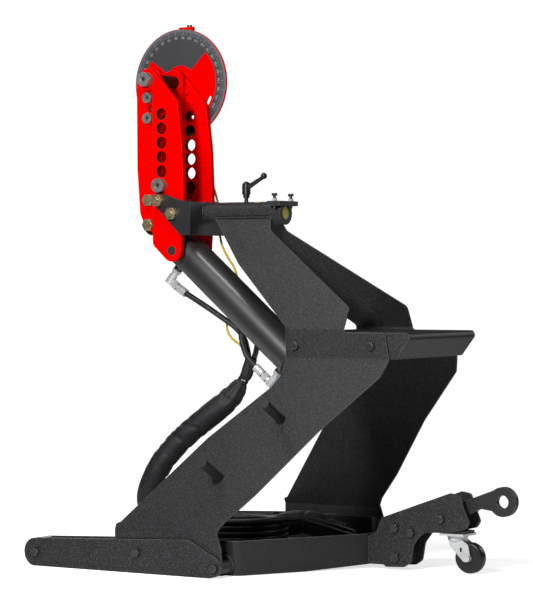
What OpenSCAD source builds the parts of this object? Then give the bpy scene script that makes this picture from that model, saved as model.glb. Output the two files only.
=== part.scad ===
// Free-standing hydraulic tube bender: folded plate frame, swing head, ten ton cylinder, tow leg.
// X runs from the leg ends (-) to the tow eye (+), Y across, Z up, all in millimetres.

/* [Head] */
// Main pin, X of its axis
main_x = -420; // [-435:1:-405]
// Main pin, height of its axis
main_z = 1184; // [1170:1:1200]
// Diameter of the main pin
main_d = 32; // [26:1:36]
// Diameter of the loose pin's shaft and of the plain head holes less their clearance
loose_d = 30; // [24:0.5:31]
// Half of the gap between the black cheeks
cheek_in_y = 33; // [30:0.5:35]
// Thickness of the black cheeks
cheek_t = 10; // [6:1:10]
// Thickness of the swing arms
swing_t = 14.5; // [10:0.5:14.5]
// Gap between a swing arm and the fixed arm beside it
arm_gap = 0.5; // [0.3:0.1:1.5]
// Thickness of the fixed arms
fixed_t = 13; // [10:0.5:16]
// Thickness of the ears of the head bracket
ear_t = 10; // [8:0.5:14]
// Number of plain holes in a fixed arm
hole_count = 6; // [3:1:6]
// Pitch of the plain holes
hole_pitch = 35.5; // [34:0.5:36]
// Radius of the degree disc
disc_r = 138; // [120:1:145]
// Thickness of the degree disc
disc_t = 6; // [4:0.5:8]

/* [Cylinder] */
// Outer diameter of the barrel
barrel_d = 90; // [84:1:96]
// Bore of the barrel
bore_d = 76.2; // [70:0.1:80]
// Diameter of the piston rod
rod_d = 44; // [36:1:48]
// Stroke of the piston
stroke = 254; // [220:1:260]
// Slope of the cylinder when it is in
slope = 40.5; // [39:0.5:42]
// Rod pin to trunnion axis, rod all the way in
closed_len = 100; // [98:0.5:104]
// Diameter of the trunnion stubs
trunnion_d = 24; // [18:0.5:26]
// Trunnion axis to the end of the barrel
barrel_len = 410; // [400:1:430]

/* [Frame] */
// Height of the spine tube's axis
spine_z = 853.5; // [848:0.5:860]
// Outer diameter of the spine tube
spine_d = 48.3; // [44:0.1:52]
// Wall of the spine tube
spine_wall = 5; // [3:0.5:8]
// Thickness of the folded side plates
side_t = 5; // [4:0.5:6]
// Half width over the side plates at the knee
knee_half_w = 170; // [160:1:180]
// Height of the upper fold of the knee
knee_top_z = 572; // [566:1:580]
// Height of the lower fold of the knee
knee_low_z = 502; // [496:1:508]
// Half width over the side plates at the feet
foot_half_w = 388; // [375:1:395]
// Height of the foot fold
foot_fold_z = 102; // [98:1:108]
// Inner radius of every fold in the sheet
fold_r = 7; // [4:0.5:10]
// Length of the storage pegs
peg_len = 85; // [60:1:100]
// Diameter of the storage pegs
peg_d = 22; // [16:1:26]

/* [Legs] */
// Thickness of the outer leg plates
leg_t = 8; // [6:0.5:10]
// Thickness of the inner leg plates
inner_leg_t = 6; // [4:0.5:8]
// Clear width between the plates of a leg
leg_gap = 47; // [44:0.5:52]
// Radius of the rounded leg end
leg_end_r = 33; // [31:0.5:34]
// Left end of the legs
leg_end_x = -562; // [-575:1:-550]
// Radius of the leg wheels
leg_wheel_r = 33.7; // [31:0.1:34]
// Width of the leg wheels
leg_wheel_w = 40; // [30:1:42]
// Diameter of the leg and knee bolts
frame_bolt_d = 12; // [8:1:14]

/* [Tray] */
// Height of the tray's rim
tray_h = 82; // [70:1:88]
// Thickness of the tray's sheet
tray_t = 4; // [3:0.5:5]
// Height of the underside of the tray's floor
tray_floor_z = 11; // [6:0.5:14]
// X of the tray's pointed end
tray_tip_x = 184; // [180:1:190]

/* [Tow leg] */
// Half width over the tow leg plates
tow_half_w = 32; // [29:0.5:36]
// Thickness of the tow leg plates
tow_t = 6; // [4:0.5:8]
// Thickness of the tow eye bar
eye_t = 16; // [12:0.5:22]
// Radius of the hole in the tow eye
eye_hole_r = 15.5; // [10:0.5:20]
// Outer radius of the tow eye
eye_r = 34.7; // [30:0.1:38]
// Radius of the caster wheel
caster_r = 36.5; // [34:0.5:37.5]
// Width of the caster wheel
caster_w = 24; // [18:1:28]

/* [Clamp] */
// Outer diameter of the end collar
collar_d = 58; // [54:0.5:62]
// Bore of the end collar
collar_bore_d = 32; // [24:0.5:36]
// Thickness of the cross bar
bar_t = 12; // [8:0.5:14]
// Half length of the cross bar
bar_half_w = 44; // [40:1:52]

/* [Hidden] */
$fn = 64;

red = [0.86, 0.03, 0.02];
charcoal = [0.24, 0.24, 0.24];
black = [0.09, 0.09, 0.1];
steel = [0.55, 0.54, 0.53];
zinc = [0.8, 0.81, 0.82];
gold = [0.72, 0.62, 0.36];
rubber = [0.07, 0.07, 0.07];
cloth = [0.1, 0.09, 0.11];
yellow = [0.85, 0.75, 0.1];

// Clearance of a pin in its bore, a side
fit = 0.08;
// Gap between seated pieces that a joint moves apart
seat = 0.3;

// Layers of the head, outwards from the middle
swing_in_y = cheek_in_y + cheek_t;
swing_out_y = swing_in_y + swing_t;
fixed_in_y = swing_out_y + arm_gap;
fixed_out_y = fixed_in_y + fixed_t;
ear_out_y = fixed_out_y + ear_t;

// Pivots of the head, [X, Z]
main_at = [main_x, main_z];
trunnion_at = main_at + [69.5, -425.5];
rod_pin_at = trunnion_at + closed_len * [-cos(slope), sin(slope)];
upper_bolt_at = rod_pin_at + [1, 61.6];
drive_pins_at = [main_at + [-6, -44], main_at + [-6, -95]];
spare_hole_at = main_at + [-1, -71];
hole_x = main_x + 40;
first_hole_z = main_z - 86.5;
follower_at = [hole_x, first_hole_z - (hole_count - 1) * hole_pitch];
ear_bolts_at = [follower_at + [0, -37], follower_at + [41, -70]];
ear_bolt_d = 16;
bolt_af = 28;
stub_d = 18;
drive_d = 16;
drive_head_d = 26.4;
drive_head_len = 11.5;
key_depth = 9;
pin_head_d = 35;
main_head_len = 23;
loose_head_len = 20;
disc_y0 = fixed_out_y + 3;
slot_r = 96.5;
slot_w = 10;
rim_gap = 0.2;

// Plates of the head bracket and the start of the spine
end_plate_x = main_x + 119;
end_plate_t = 12;
bracket_top = follower_at.y - 18;
bracket_half = [57, 25];
spine_x0 = end_plate_x + end_plate_t;
spine_x1 = -90;

// Cylinder, lengths along its axis from the trunnion
gland_d = barrel_d + 1.6;
boss_h = 8;
stub_y0 = bore_d / 2 + 3;
gland_half = 30;
cap_len = 26;
piston_len = 36;
rod_eye_r = 25;
port_up_at = 8;
port_low_at = barrel_len - 13;
port_out = 88;
hose_d = 14;
piston_z0 = barrel_len - cap_len - seat - piston_len;

// Outline of the side plates, [X, Z]
weld_half_w = 24;
weld_z = 834;
shoulder = [197, 621];
foot_x0 = -300;
foot_x1 = 0;
// Folded section of a side plate, [Y, Z] of its outer face from the spine to the foot
side_line = let (lean = (knee_half_w - weld_half_w) / (weld_z - knee_top_z), r = fold_r + side_t) [
    [weld_half_w - lean * (spine_z - weld_z), spine_z, 0], [knee_half_w, knee_top_z, r],
    [knee_half_w, knee_low_z, r], [foot_half_w, foot_fold_z, r], [foot_half_w, 0, 0]];
knee_bolts_at = [[66, 531], [271, 532]];
pegs_at = [[75, 361], [-49, 226]];

leg_bolts_at = [[-233, 48], [-16, 24]];
leg_axle_at = [leg_end_x + leg_end_r + 2, leg_wheel_r + seat];
leg_out_y = foot_half_w + leg_t;
leg_in_y = foot_half_w - leg_gap;
tray_half_w = leg_in_y - inner_leg_t;
tray_nut_y = tray_half_w - tray_t - 1.2;
tray_plan = let (w = tray_half_w, tip = tow_half_w)
    [[foot_x0 + 6, w, 8], [5, w, 34], [tray_tip_x, tip, 6],
     [tray_tip_x, -tip, 6], [5, -w, 34], [foot_x0 + 6, -w, 8]];

tow_in_y = tow_half_w - tow_t;
tow_bolts_at = [[257, 100], [300, 91], [259, 29], [379, 126]];
tow_pivot_at = tow_bolts_at[3];
tow_bolt_d = 12;
mount_plate_z = 93;
mount_plate_t = 6.5;
eye_at = [527.3, 171];
swivel_x = 407.5;
caster_axle_at = [441, caster_r];
caster_bolt_d = 10;
caster_plate_t = 5;
race_d = 50;
race_z = [mount_plate_z - caster_plate_t - 9, mount_plate_z - caster_plate_t];
fork_t = 3;
fork_gap = caster_w + 4;
kingpin_d = 12;

collar_x0 = spine_x1 + 1;
collar_len = 27;
collar_z = 849;
bar_top_z = 878;
bar_x = [collar_x0, -54];
screw_x = -71;
screw_y = 38;
screw_d = 8;
lever_x = -176;
lever_stud_d = 10;

// Hoses, sleeve and cable. Routes are the places the soft runs pass through, [X, Y, Z].
sleeve_d = 60;
cable_d = 6;
hose_upper_route = [[-354.2, 0, 651.6], [-336, 0, 642], [-314, 0, 630], [-285, 0, 614],
    [-266, 5, 601], [-248, 11, 588], [-229, 20, 573], [-217, 28, 559], [-209, 34, 546],
    [-203, 37, 532], [-198, 36, 518], [-192, 32, 504], [-187, 28, 490]];
hose_lower_route = [[-150.8, 0, 473.1], [-161, -0.5, 482.5], [-170, -1, 492], [-178, -1, 503],
    [-185, 1, 517], [-191, 3, 532], [-196, 7, 547], [-200, 15, 561], [-203, 28, 572],
    [-205, 44, 577], [-205, 61, 574], [-202, 73, 564], [-197, 78, 549], [-193, 76, 533],
    [-190, 69, 518], [-187, 59, 505], [-185, 50, 495], [-184, 45, 489]];
sleeve_route = [[-184, 34, 491.5], [-187.8, 33, 479], [-191.2, 31, 465.4], [-195, 29, 452.3],
    [-204.3, 26, 435.8], [-211, 24, 426.6], [-219.4, 20, 412.4], [-230.6, 14, 396.5],
    [-245.9, 6, 379.6], [-288.4, -8, 343.6], [-316.1, -14, 321.5], [-341.5, -20, 300.6],
    [-363.4, -26, 279.5], [-382.9, -32, 256.6], [-400, -42, 231], [-420, -48, 193],
    [-438, -47, 152], [-440, -40, 114], [-424, -28, 79], [-394, -12, 57], [-356, 10, 48],
    [-318, 34, 47], [-288, 58, 48], [-250, 86, 51], [-205, 110, 56], [-158, 128, 70],
    [-110, 138, 80], [-64, 142, 77], [-24, 144, 63], [14, 146, 52]];
neck_widths = [30, 28, 29, 29, 24, 37, 47, 55];
cable_route = [[-358, 86, 984], [-352, 88, 962], [-343, 91, 942], [-334, 94, 920],
    [-326, 96, 895], [-320, 97, 870], [-318, 97, 850], [-317, 96, 828], [-314, 93, 798],
    [-303, 89, 768], [-283, 82, 742], [-260, 75, 716], [-247, 69, 688], [-246, 64, 660],
    [-253, 60, 632], [-261, 54, 604], [-265, 49, 578], [-262, 47, 558], [-249, 46, 540],
    [-231, 46, 528], [-214, 45, 515], [-203, 42, 503], [-196.5, 38, 493]];
cable_lead = [[17, 137, 42], [31, 132, 34], [42, 120, 26], [46, 102, 20], [40, 82, 18.5],
    [26, 60, 18.5], [9, 38, 18.5], [-5, 17, 18.5], [-13, -6, 18.5], [-16, -32, 18.5],
    [-16.5, -60, 18.5]];
coil_at = [-158, -60];
coil_mean_r = 104;
coil_rows = 6;
coil_z0 = tray_floor_z + tray_t + seat;
cable_coil_r = 132;
couplers_at = [[-225, -194], [-225, -226]];
inner_lead = [[19, 138, 57], [44, 132, 60], [62, 110, 66], [60, 78, 76], [36, 46, 88],
    [-2, 14, 101], [-34, -18, 107], [-50, -50, 107]];
outer_lead = [[17, 156, 50], [52, 151, 50], [82, 126, 52], [88, 88, 58], [66, 50, 70],
    [28, 14, 88], [-8, -22, 103], [-36, -54, 107]];
low_tail = [[-158, -187.6, 36], [-180, -188.6, 36], [-203, -191.4, 35], [-224.2, -194, 31]];
high_tail = [[-94, -170.6, 51], [-115, -182.5, 49], [-136, -194, 45], [-158, -205, 40],
    [-181, -215, 35], [-203, -223, 31.5], [-224.2, -226, 31]];

function unit(v) = v / norm(v);

// Points of the arc that rounds corner q, [x, y, radius], between its neighbours p and s
function corner(p, q, s) =
    let (at = [q.x, q.y], r = q[2])
    r == 0 ? [at] :
    let (u = unit([p.x, p.y] - at), v = unit([s.x, s.y] - at),
         half = acos(max(-1, min(1, u * v))) / 2,
         centre = at + unit(u + v) * r / sin(half),
         from = at + u * r / tan(half) - centre,
         turn = (u.x * v.y - u.y * v.x > 0 ? -1 : 1) * (180 - 2 * half),
         steps = max(2, ceil(abs(turn) / 9)))
    [for (i = [0:steps]) let (a = turn * i / steps)
        centre + [from.x * cos(a) - from.y * sin(a), from.x * sin(a) + from.y * cos(a)]];

// A closed outline with its corners rounded
function rounded(pts) = let (n = len(pts))
    [for (i = [0:n - 1]) each corner(pts[(i + n - 1) % n], pts[i], pts[(i + 1) % n])];

// An open line with its inner corners rounded
function bent(pts) = let (n = len(pts))
    [for (i = [0:n - 1]) each (i == 0 || i == n - 1 ? [[pts[i].x, pts[i].y]]
        : corner(pts[i - 1], pts[i], pts[i + 1]))];

function on_disc(r, a) = main_at + r * [sin(a), cos(a)];

function normal2(a, b) = let (u = unit(b - a)) [u.y, -u.x];

// The line moved sideways by d, corners mitred
function beside(p, d) = let (n = len(p)) [for (i = [0:n - 1])
    let (a = normal2(p[max(i - 1, 0)], p[max(i, 1)]),
         b = normal2(p[min(i, n - 2)], p[min(i + 1, n - 1)]),
         m = unit(a + b))
    p[i] + m * d / (m * a)];

function reversed(p) = [for (i = [len(p) - 1:-1:0]) p[i]];

// An [X, Z] outline made solid from y0 to y1
module slab(pts, y0, y1)
    translate([0, y1, 0]) rotate([90, 0, 0]) linear_extrude(y1 - y0) polygon(rounded(pts));

// A round bar along Y at [X, Z]
module bar_y(at, d, y0, y1, sides = 0)
    translate([at.x, y0, at.y]) rotate([-90, 0, 0])
        if (sides == 0) cylinder(d = d, h = y1 - y0);
        else cylinder(d = d / cos(180 / sides), h = y1 - y0, $fn = sides);

// A round bar along Z
module bar_z(at, d, z0, z1)
    translate([at.x, at.y, z0]) cylinder(d = d, h = z1 - z0);

// A round bar along X at [Y, Z]
module bar_x_way(at, d, x0, x1)
    translate([x0, at.x, at.y]) rotate([0, 90, 0]) cylinder(d = d, h = x1 - x0);

module front() mirror([0, 1, 0]) children();

module both() {
    children();
    front() children();
}

// Along the cylinder: local Z from the trunnion down the barrel, local X to the port side
module along() translate([trunnion_at.x, 0, trunnion_at.y]) rotate([0, 90 + slope, 0]) children();

function tangent(p, i) = unit(p[min(i + 1, len(p) - 1)] - p[max(i - 1, 0)]);

function carried(p, i, n) = i >= len(p) ? [] :
    let (t = tangent(p, i), m = unit(n - (n * t) * t)) concat([m], carried(p, i + 1, m));

// A soft run: one tube swept along a route, d is its diameter or a list of them
module run(route, d, sides) {
    side = carried(route, 0, [0.3, 1, 0.2]);
    last = len(route) - 1;
    points = [for (i = [0:last]) let (t = tangent(route, i), b = cross(t, side[i]))
        for (s = [0:sides - 1]) let (a = 360 * s / sides)
            route[i] + (is_list(d) ? d[i] : d) / 2 * (cos(a) * side[i] + sin(a) * b)];
    walls = [for (i = [0:last - 1], s = [0:sides - 1])
        let (a = i * sides + s, b = i * sides + (s + 1) % sides)
        each [[a, a + sides, b + sides], [a, b + sides, b]]];
    ends = [[for (s = [0:sides - 1]) s], [for (s = [sides - 1:-1:0]) last * sides + s]];
    polyhedron(points, concat(walls, ends));
}

// ---- Frame ----

module side_sheet() {
    outer = bent(side_line);
    translate([-400, 0, 0]) rotate([90, 0, 90]) linear_extrude(800)
        polygon(concat(outer, reversed(beside(outer, side_t))));
}

module side_plate() color(charcoal) difference() {
    intersection() {
        side_sheet();
        slab([[-260, spine_z, 0], [-250, weld_z, 0], [-145, 724, 30], [40, 574, 8],
            [40, 462, 12], [24, 436, 18], [-113, 314, 0], [foot_x0 + 11, 117, 0], [foot_x0, 113, 0],
            [foot_x0, 14, 10], [foot_x1, 10, 14], [-3, 66, 20], [-16, foot_fold_z + 4, 10],
            [-4, 126, 20], [60, 192, 40], [181, 336, 60], [306, 462, 22], [319, 500, 18],
            [308, knee_top_z - 8, 16], [shoulder.x, knee_top_z - 9, 9],
            [shoulder.x, shoulder.y, 14], [-82, 806, 12], [-93, weld_z + 4, 4],
            [-94, spine_z, 0]], 0, 500);
    }
    bar_x_way([0, spine_z], spine_d + 2 * fit, -400, 0);
    for (at = knee_bolts_at) bar_y(at, frame_bolt_d + 2 * fit, knee_half_w - 20, knee_half_w + 1);
    for (at = leg_bolts_at) bar_y(at, frame_bolt_d + 2 * fit, leg_in_y, leg_out_y);
}

module side_plate_rear() side_plate();
module side_plate_front() front() side_plate();

module spine_tube() color(charcoal) difference() {
    bar_x_way([0, spine_z], spine_d, spine_x0, spine_x1);
    bar_x_way([0, spine_z], spine_d - 2 * spine_wall, spine_x0 - 1, spine_x1 + 1);
    bar_z([lever_x, 0], lever_stud_d + 2 * fit, spine_z, spine_z + 40);
}

// Closed cover between the side plates at the knee: top, sloped end and side flanges
module knee_channel() color(charcoal) {
    w = knee_half_w - side_t;
    x1 = 370;
    z1 = knee_top_z - 8;
    skin = [[48, z1, 6], [x1 - 4, z1, 10], [x1, z1 - 14, 10], [334, knee_low_z + 1, 0],
        [48, knee_low_z + 1, 0]];
    room = [[40, z1 - side_t, 0], [x1 - 7, z1 - side_t, 5], [x1 - 6, z1 - 15, 5],
        [327, knee_low_z, 0], [320, knee_low_z - 9, 0], [40, knee_low_z - 9, 0]];
    difference() {
        slab(skin, -w, w);
        slab(room, -w + side_t, w - side_t);
        both() for (at = knee_bolts_at) bar_y(at, frame_bolt_d + 2 * fit, 100, 200);
    }
}

module hex_bolt(at, d, af, head, y0, y1) {
    bar_y(at, d, y0, y1);
    bar_y(at, af, y1, y1 + head, 6);
    bar_y(at, af * 0.88, y1 + head, y1 + head + 1);
}

module frame_bolts() color(black) both() {
    for (at = knee_bolts_at)
        hex_bolt(at, frame_bolt_d, 19, 7, knee_half_w - 2 * side_t - 9, knee_half_w);
    for (at = knee_bolts_at)
        bar_y(at, 19, knee_half_w - 2 * side_t - 9, knee_half_w - 2 * side_t, 6);
    for (at = leg_bolts_at) {
        hex_bolt(at, frame_bolt_d, 18, 7, tray_nut_y - 8, leg_out_y);
        bar_y(at, 17, tray_nut_y - 8, tray_nut_y, 6);
    }
    hex_bolt(leg_axle_at, frame_bolt_d, 18, 7, tray_half_w - 8, leg_out_y);
    bar_y(leg_axle_at, 18, tray_half_w - 8, tray_half_w, 6);
}

module storage_pegs() color(charcoal) {
    lean = atan((foot_half_w - knee_half_w) / (knee_low_z - foot_fold_z));
    both() for (at = pegs_at) {
        y = knee_half_w + tan(lean) * (knee_low_z - at.y);
        translate([at.x, y, at.y]) rotate([lean - 90, 0, 0]) cylinder(d = peg_d, h = peg_len);
    }
}

// ---- Legs ----

module leg_plate(y0, t) color(charcoal) difference() {
    slab([[leg_end_x, 0, leg_end_r - 0.5], [leg_end_x, 2 * leg_end_r, leg_end_r - 1],
        [-88, 86, 20], [-2, 42, 24], [6, 10, 22], [-30, 0, 14]], y0, y0 + t);
    for (at = concat(leg_bolts_at, [leg_axle_at])) bar_y(at, frame_bolt_d + 2 * fit, y0 - 1, y0 + t + 1);
}

module leg_outer_rear() leg_plate(foot_half_w, leg_t);
module leg_outer_front() front() leg_plate(foot_half_w, leg_t);
module leg_inner_rear() leg_plate(tray_half_w, inner_leg_t);
module leg_inner_front() front() leg_plate(tray_half_w, inner_leg_t);

module leg_spacers() color(black) both() for (at = leg_bolts_at) difference() {
    bar_y(at, 32, leg_in_y, foot_half_w - side_t);
    bar_y(at, frame_bolt_d + 2 * fit, leg_in_y - 1, foot_half_w);
}

module leg_wheel() color(rubber) {
    mid = (leg_in_y + foot_half_w) / 2;
    difference() {
        bar_y(leg_axle_at, 2 * leg_wheel_r, mid - leg_wheel_w / 2, mid + leg_wheel_w / 2);
        bar_y(leg_axle_at, frame_bolt_d + 2 * fit, leg_in_y, foot_half_w);
        both_faces(mid, leg_wheel_w) bar_y(leg_axle_at, 2 * leg_wheel_r - 18, 0, 3);
    }
}

// Cuts the same recess in both faces of a wheel centred at y
module both_faces(y, w) {
    translate([0, y + w / 2 - 2, 0]) children();
    translate([0, y - w / 2 - 1, 0]) children();
}

module leg_wheel_rear() leg_wheel();
module leg_wheel_front() front() leg_wheel();

// ---- Tray ----

module tray() color(charcoal) {
    outer = rounded(tray_plan);
    inner = beside_closed(outer, tray_t);
    difference() {
        translate([0, 0, 1.5]) linear_extrude(tray_h - 1.5) polygon(outer);
        translate([0, 0, tray_floor_z + tray_t]) linear_extrude(tray_h) polygon(inner);
        translate([0, 0, -1]) linear_extrude(tray_floor_z + 1) polygon(inner);
        // The left end is open above the floor, where the hoses come in
        translate([foot_x0, -tray_half_w + 30, tray_floor_z + tray_t])
            cube([30, 2 * tray_half_w - 60, tray_h]);
        for (at = leg_bolts_at) bar_y(at, frame_bolt_d + 2 * fit, -400, 400);
        // The skirt rises towards the tip
        slab([[30, -5, 0], [220, -5, 0], [220, tray_floor_z + 2, 0]], -400, 400);
    }
}

function beside_closed(p, d) = let (n = len(p)) [for (i = [0:n - 1])
    let (a = normal2(p[(i + n - 1) % n], p[i]), b = normal2(p[i], p[(i + 1) % n]),
         m = unit(a + b))
    p[i] + m * d / (m * a)];

// ---- Tow leg ----

module tow_plate() color(charcoal) difference() {
    slab([[tray_tip_x, 77, 0], [205, 84, 12], [221, 122, 10], [250, 133, 0], [404, 188, 8],
        [428, 184, 10], [453, 120, 8], [444, 105, 16], [396, mount_plate_z + 1, 20],
        [330, mount_plate_z, 22], [306, 62, 30], [299, 20, 14], [281, 8, 8], [233, 6, 3],
        [226, tray_floor_z, 3], [tray_tip_x, tray_floor_z, 0]], tow_in_y, tow_half_w);
    for (at = tow_bolts_at) bar_y(at, tow_bolt_d + 2 * fit, 0, 60);
}

module tow_plate_rear() tow_plate();
module tow_plate_front() front() tow_plate();

// What ties the two plates: end plate, bolt spacers and the caster's mounting plate
module tow_web() color(charcoal) {
    translate([tray_tip_x, -tow_in_y, tray_floor_z + 2]) cube([side_t, 2 * tow_in_y, 62]);
    for (i = [0:2]) difference() {
        bar_y(tow_bolts_at[i], 26, -tow_in_y, tow_in_y);
        bar_y(tow_bolts_at[i], tow_bolt_d + 2 * fit, -60, 60);
    }
    translate([352, -tow_in_y, mount_plate_z]) cube([86, 2 * tow_in_y, mount_plate_t]);
}

module tow_bolts() color(black) for (at = tow_bolts_at) {
    front() hex_bolt(at, tow_bolt_d, 19, 7, -tow_half_w - 9, tow_half_w);
    bar_y(at, 19, tow_half_w, tow_half_w + 9, 6);
}

module tow_eye_bar() color(charcoal) difference() {
    slab([[tow_pivot_at.x - 20, tow_pivot_at.y - 18, 16], [439, 137, 40], [470, 153, 20],
        for (a = [-140:10:130]) [eye_at.x + eye_r * cos(a), eye_at.y + eye_r * sin(a), 0],
        [456, 179, 30], [tow_pivot_at.x - 20, tow_pivot_at.y + 18, 16]],
        -eye_t / 2, eye_t / 2);
    bar_y(eye_at, 2 * eye_hole_r, -eye_t, eye_t);
    bar_y(tow_pivot_at, tow_bolt_d + 2 * fit, -eye_t, eye_t);
}

// ---- Caster ----

module caster_plate() color(zinc) {
    translate([376, -33, race_z[1]]) cube([63, 66, caster_plate_t]);
    bar_z([swivel_x, 0], kingpin_d, race_z[0] - 2, race_z[1]);
    difference() {
        bar_z([swivel_x, 0], race_d, race_z[0] + 5, race_z[1]);
        bar_z([swivel_x, 0], kingpin_d, 0, 200);
    }
}

module caster_fork() color(zinc) difference() {
    union() {
        bar_z([swivel_x, 0], race_d - 4, race_z[0] - fork_t, race_z[0] + 5 - seat);
        both() slab([[swivel_x - 17, race_z[0], 4], [swivel_x - 12, race_z[0] - 16, 10],
            [caster_axle_at.x - 9, caster_axle_at.y - 10, 9],
            [caster_axle_at.x + 9, caster_axle_at.y - 6, 8],
            [caster_axle_at.x + 2, race_z[0] - 12, 12], [swivel_x + 17, race_z[0], 4]],
            fork_gap / 2, fork_gap / 2 + fork_t);
    }
    bar_z([swivel_x, 0], kingpin_d + 2 * fit, 0, 200);
    bar_y(caster_axle_at, caster_bolt_d + 2 * fit, -60, 60);
    both() slab([[swivel_x + 14, 50, 2], [swivel_x + 14, 61, 2], [swivel_x + 19, 61, 2],
        [swivel_x + 19, 50, 2]], 0, 60);
}

module caster_wheel() color(rubber) difference() {
    bar_y(caster_axle_at, 2 * caster_r, -caster_w / 2, caster_w / 2);
    bar_y(caster_axle_at, caster_bolt_d + 2 * fit, -60, 60);
    both_faces(0, caster_w) bar_y(caster_axle_at, 46, 0, 3);
}

module caster_axle() color(zinc) {
    y = fork_gap / 2 + fork_t;
    bar_y(caster_axle_at, caster_bolt_d, -y, y);
    both() bar_y(caster_axle_at, 15, y, y + 6, 6);
}

// ---- Head ----

module head_bracket() color(black) {
    both() difference() {
        slab([[main_x + 21, bracket_top - 26, 4], [main_x + 30, bracket_top, 6],
            [main_x + 52, bracket_top - 4, 10], [main_x + 106, spine_z + bracket_half[1] + 3, 10],
            [spine_x0, spine_z + bracket_half[1], 0], [spine_x0, spine_z - bracket_half[0], 0],
            [main_x + 102, spine_z - bracket_half[0], 8]], fixed_out_y, ear_out_y);
        for (at = ear_bolts_at) bar_y(at, ear_bolt_d + 2 * fit, 0, 200);
    }
    difference() {
        translate([end_plate_x, -fixed_out_y, spine_z - bracket_half[0]])
            cube([end_plate_t, 2 * fixed_out_y, bracket_half[0] + bracket_half[1]]);
        bar_x_way([0, spine_z], spine_d - 2 * spine_wall, end_plate_x - 1, spine_x0 + 1);
    }
}

// Through bolts with a nut on each side
module ear_bolts() color(gold) for (at = ear_bolts_at) {
    bar_y(at, ear_bolt_d, -ear_out_y - 22, ear_out_y + 22);
    both() bar_y(at, bolt_af, ear_out_y, ear_out_y + 15, 6);
}

module fixed_arm() color(red) difference() {
    union() {
        bar_y(main_at, 54, fixed_in_y, fixed_out_y);
        bar_y(trunnion_at, 54, fixed_in_y, fixed_out_y);
        slab([[main_x + 13, main_z - 36, 10], [main_x - 2, main_z - 12, 0],
            [main_x, main_z + 6, 0], [main_x + 20, main_z + 18, 0],
            [main_x + 87, main_z - 57, 12], [main_x + 105, main_z - 170, 1300],
            [main_x + 105, main_z - 304, 24],
            [trunnion_at.x + 27, trunnion_at.y, 0], [trunnion_at.x, trunnion_at.y - 5, 0],
            [trunnion_at.x - 18.4, trunnion_at.y - 19.7, 0],
            [main_x + 13, main_z - 410, 16]], fixed_in_y, fixed_out_y);
    }
    bar_y(main_at, main_d + 2 * fit, 0, 200);
    bar_y(trunnion_at, trunnion_d + 2 * fit, 0, 200);
    for (i = [0:hole_count - 1])
        bar_y([hole_x, first_hole_z - i * hole_pitch], loose_d + 2 * fit, 0, 200);
    for (at = ear_bolts_at) bar_y(at, ear_bolt_d + 2 * fit, 0, 200);
}

// The rear arm alone has the two small holes above the plain ones
module fixed_arm_rear() difference() {
    fixed_arm();
    for (at = [main_at + [29, -32], main_at + [62, -65.5]]) bar_y(at, 6, 0, 200);
}
module fixed_arm_front() front() fixed_arm();

module swing_arm() color(red) difference() {
    slab([[main_x - 43.5, main_z + 31, 40], [main_x + 29, main_z + 31, 26],
        [main_x + 23, main_z - 60, 60], [main_x + 23, rod_pin_at.y - 17, 16],
        [main_x - 12, rod_pin_at.y - 18, 22], [main_x - 34, rod_pin_at.y + 28, 40],
        [main_x - 42, rod_pin_at.y + 140, 80]], swing_in_y, swing_out_y);
    bar_y(main_at, main_d + 2 * fit, 0, 200);
    for (at = drive_pins_at) bar_y(at, drive_d + 2 * fit, 0, 200);
    bar_y(spare_hole_at, 20, 0, 200);
    for (at = [upper_bolt_at, rod_pin_at]) bar_y(at, stub_d + 2 * fit, 0, 200);
}

module swing_arm_rear() swing_arm();
module swing_arm_front() front() swing_arm();

module arm_cheeks() color(black) both() difference() {
    union() {
        bar_y(upper_bolt_at, 52, cheek_in_y, swing_in_y);
        bar_y(rod_pin_at, 52, cheek_in_y, swing_in_y);
        slab([[rod_pin_at.x - 26, rod_pin_at.y, 0], [rod_pin_at.x + 26, rod_pin_at.y, 0],
            [upper_bolt_at.x + 26, upper_bolt_at.y, 0], [upper_bolt_at.x - 26, upper_bolt_at.y, 0]],
            cheek_in_y, swing_in_y);
    }
    for (at = [upper_bolt_at, rod_pin_at]) bar_y(at, stub_d + 2 * fit, 0, 200);
}

// Stub bolts, flush with the inner faces of the cheeks so that the rod passes between them
module arm_bolts() color(gold) both() for (at = [upper_bolt_at, rod_pin_at])
    hex_bolt(at, stub_d, bolt_af, 10, cheek_in_y, swing_out_y);

// Round head from y0 to y1 with a shallow cup and a hex socket in its outer face
module pin_head(at, d, y0, y1, cup_d, key) difference() {
    bar_y(at, d, y0, y1);
    bar_y(at, cup_d, y1 - 2.5, y1 + 1);
    bar_y(at, key, y1 - key_depth, y1, 6);
}

module drive_pins() color(steel) for (at = drive_pins_at) {
    bar_y(at, drive_d, -swing_out_y, swing_out_y);
    both() pin_head(at, drive_head_d, swing_out_y, swing_out_y + drive_head_len, 13, 8);
    both() difference() {
        bar_y(at, 24, 0, swing_in_y);
        bar_y(at, drive_d, -1, swing_in_y + 1);
    }
}

module main_pin() color(steel) {
    back = fixed_out_y + 3 + disc_t + 1;
    bar_y(main_at, main_d, -fixed_out_y, back);
    front() pin_head(main_at, pin_head_d, fixed_out_y, fixed_out_y + main_head_len, 16, 9);
    bar_y(main_at, 50, fixed_out_y, fixed_out_y + 3 - seat);
    bar_y(main_at, pin_head_d + 9, back - 1 + seat, back + 9);
}

module follower_pin() color(steel) {
    bar_y(follower_at, loose_d, -fixed_out_y - 1, fixed_out_y + 6);
    front() pin_head(follower_at, pin_head_d, fixed_out_y + seat, fixed_out_y + loose_head_len,
        16, 9);
}

// ---- Degree disc ----

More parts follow.
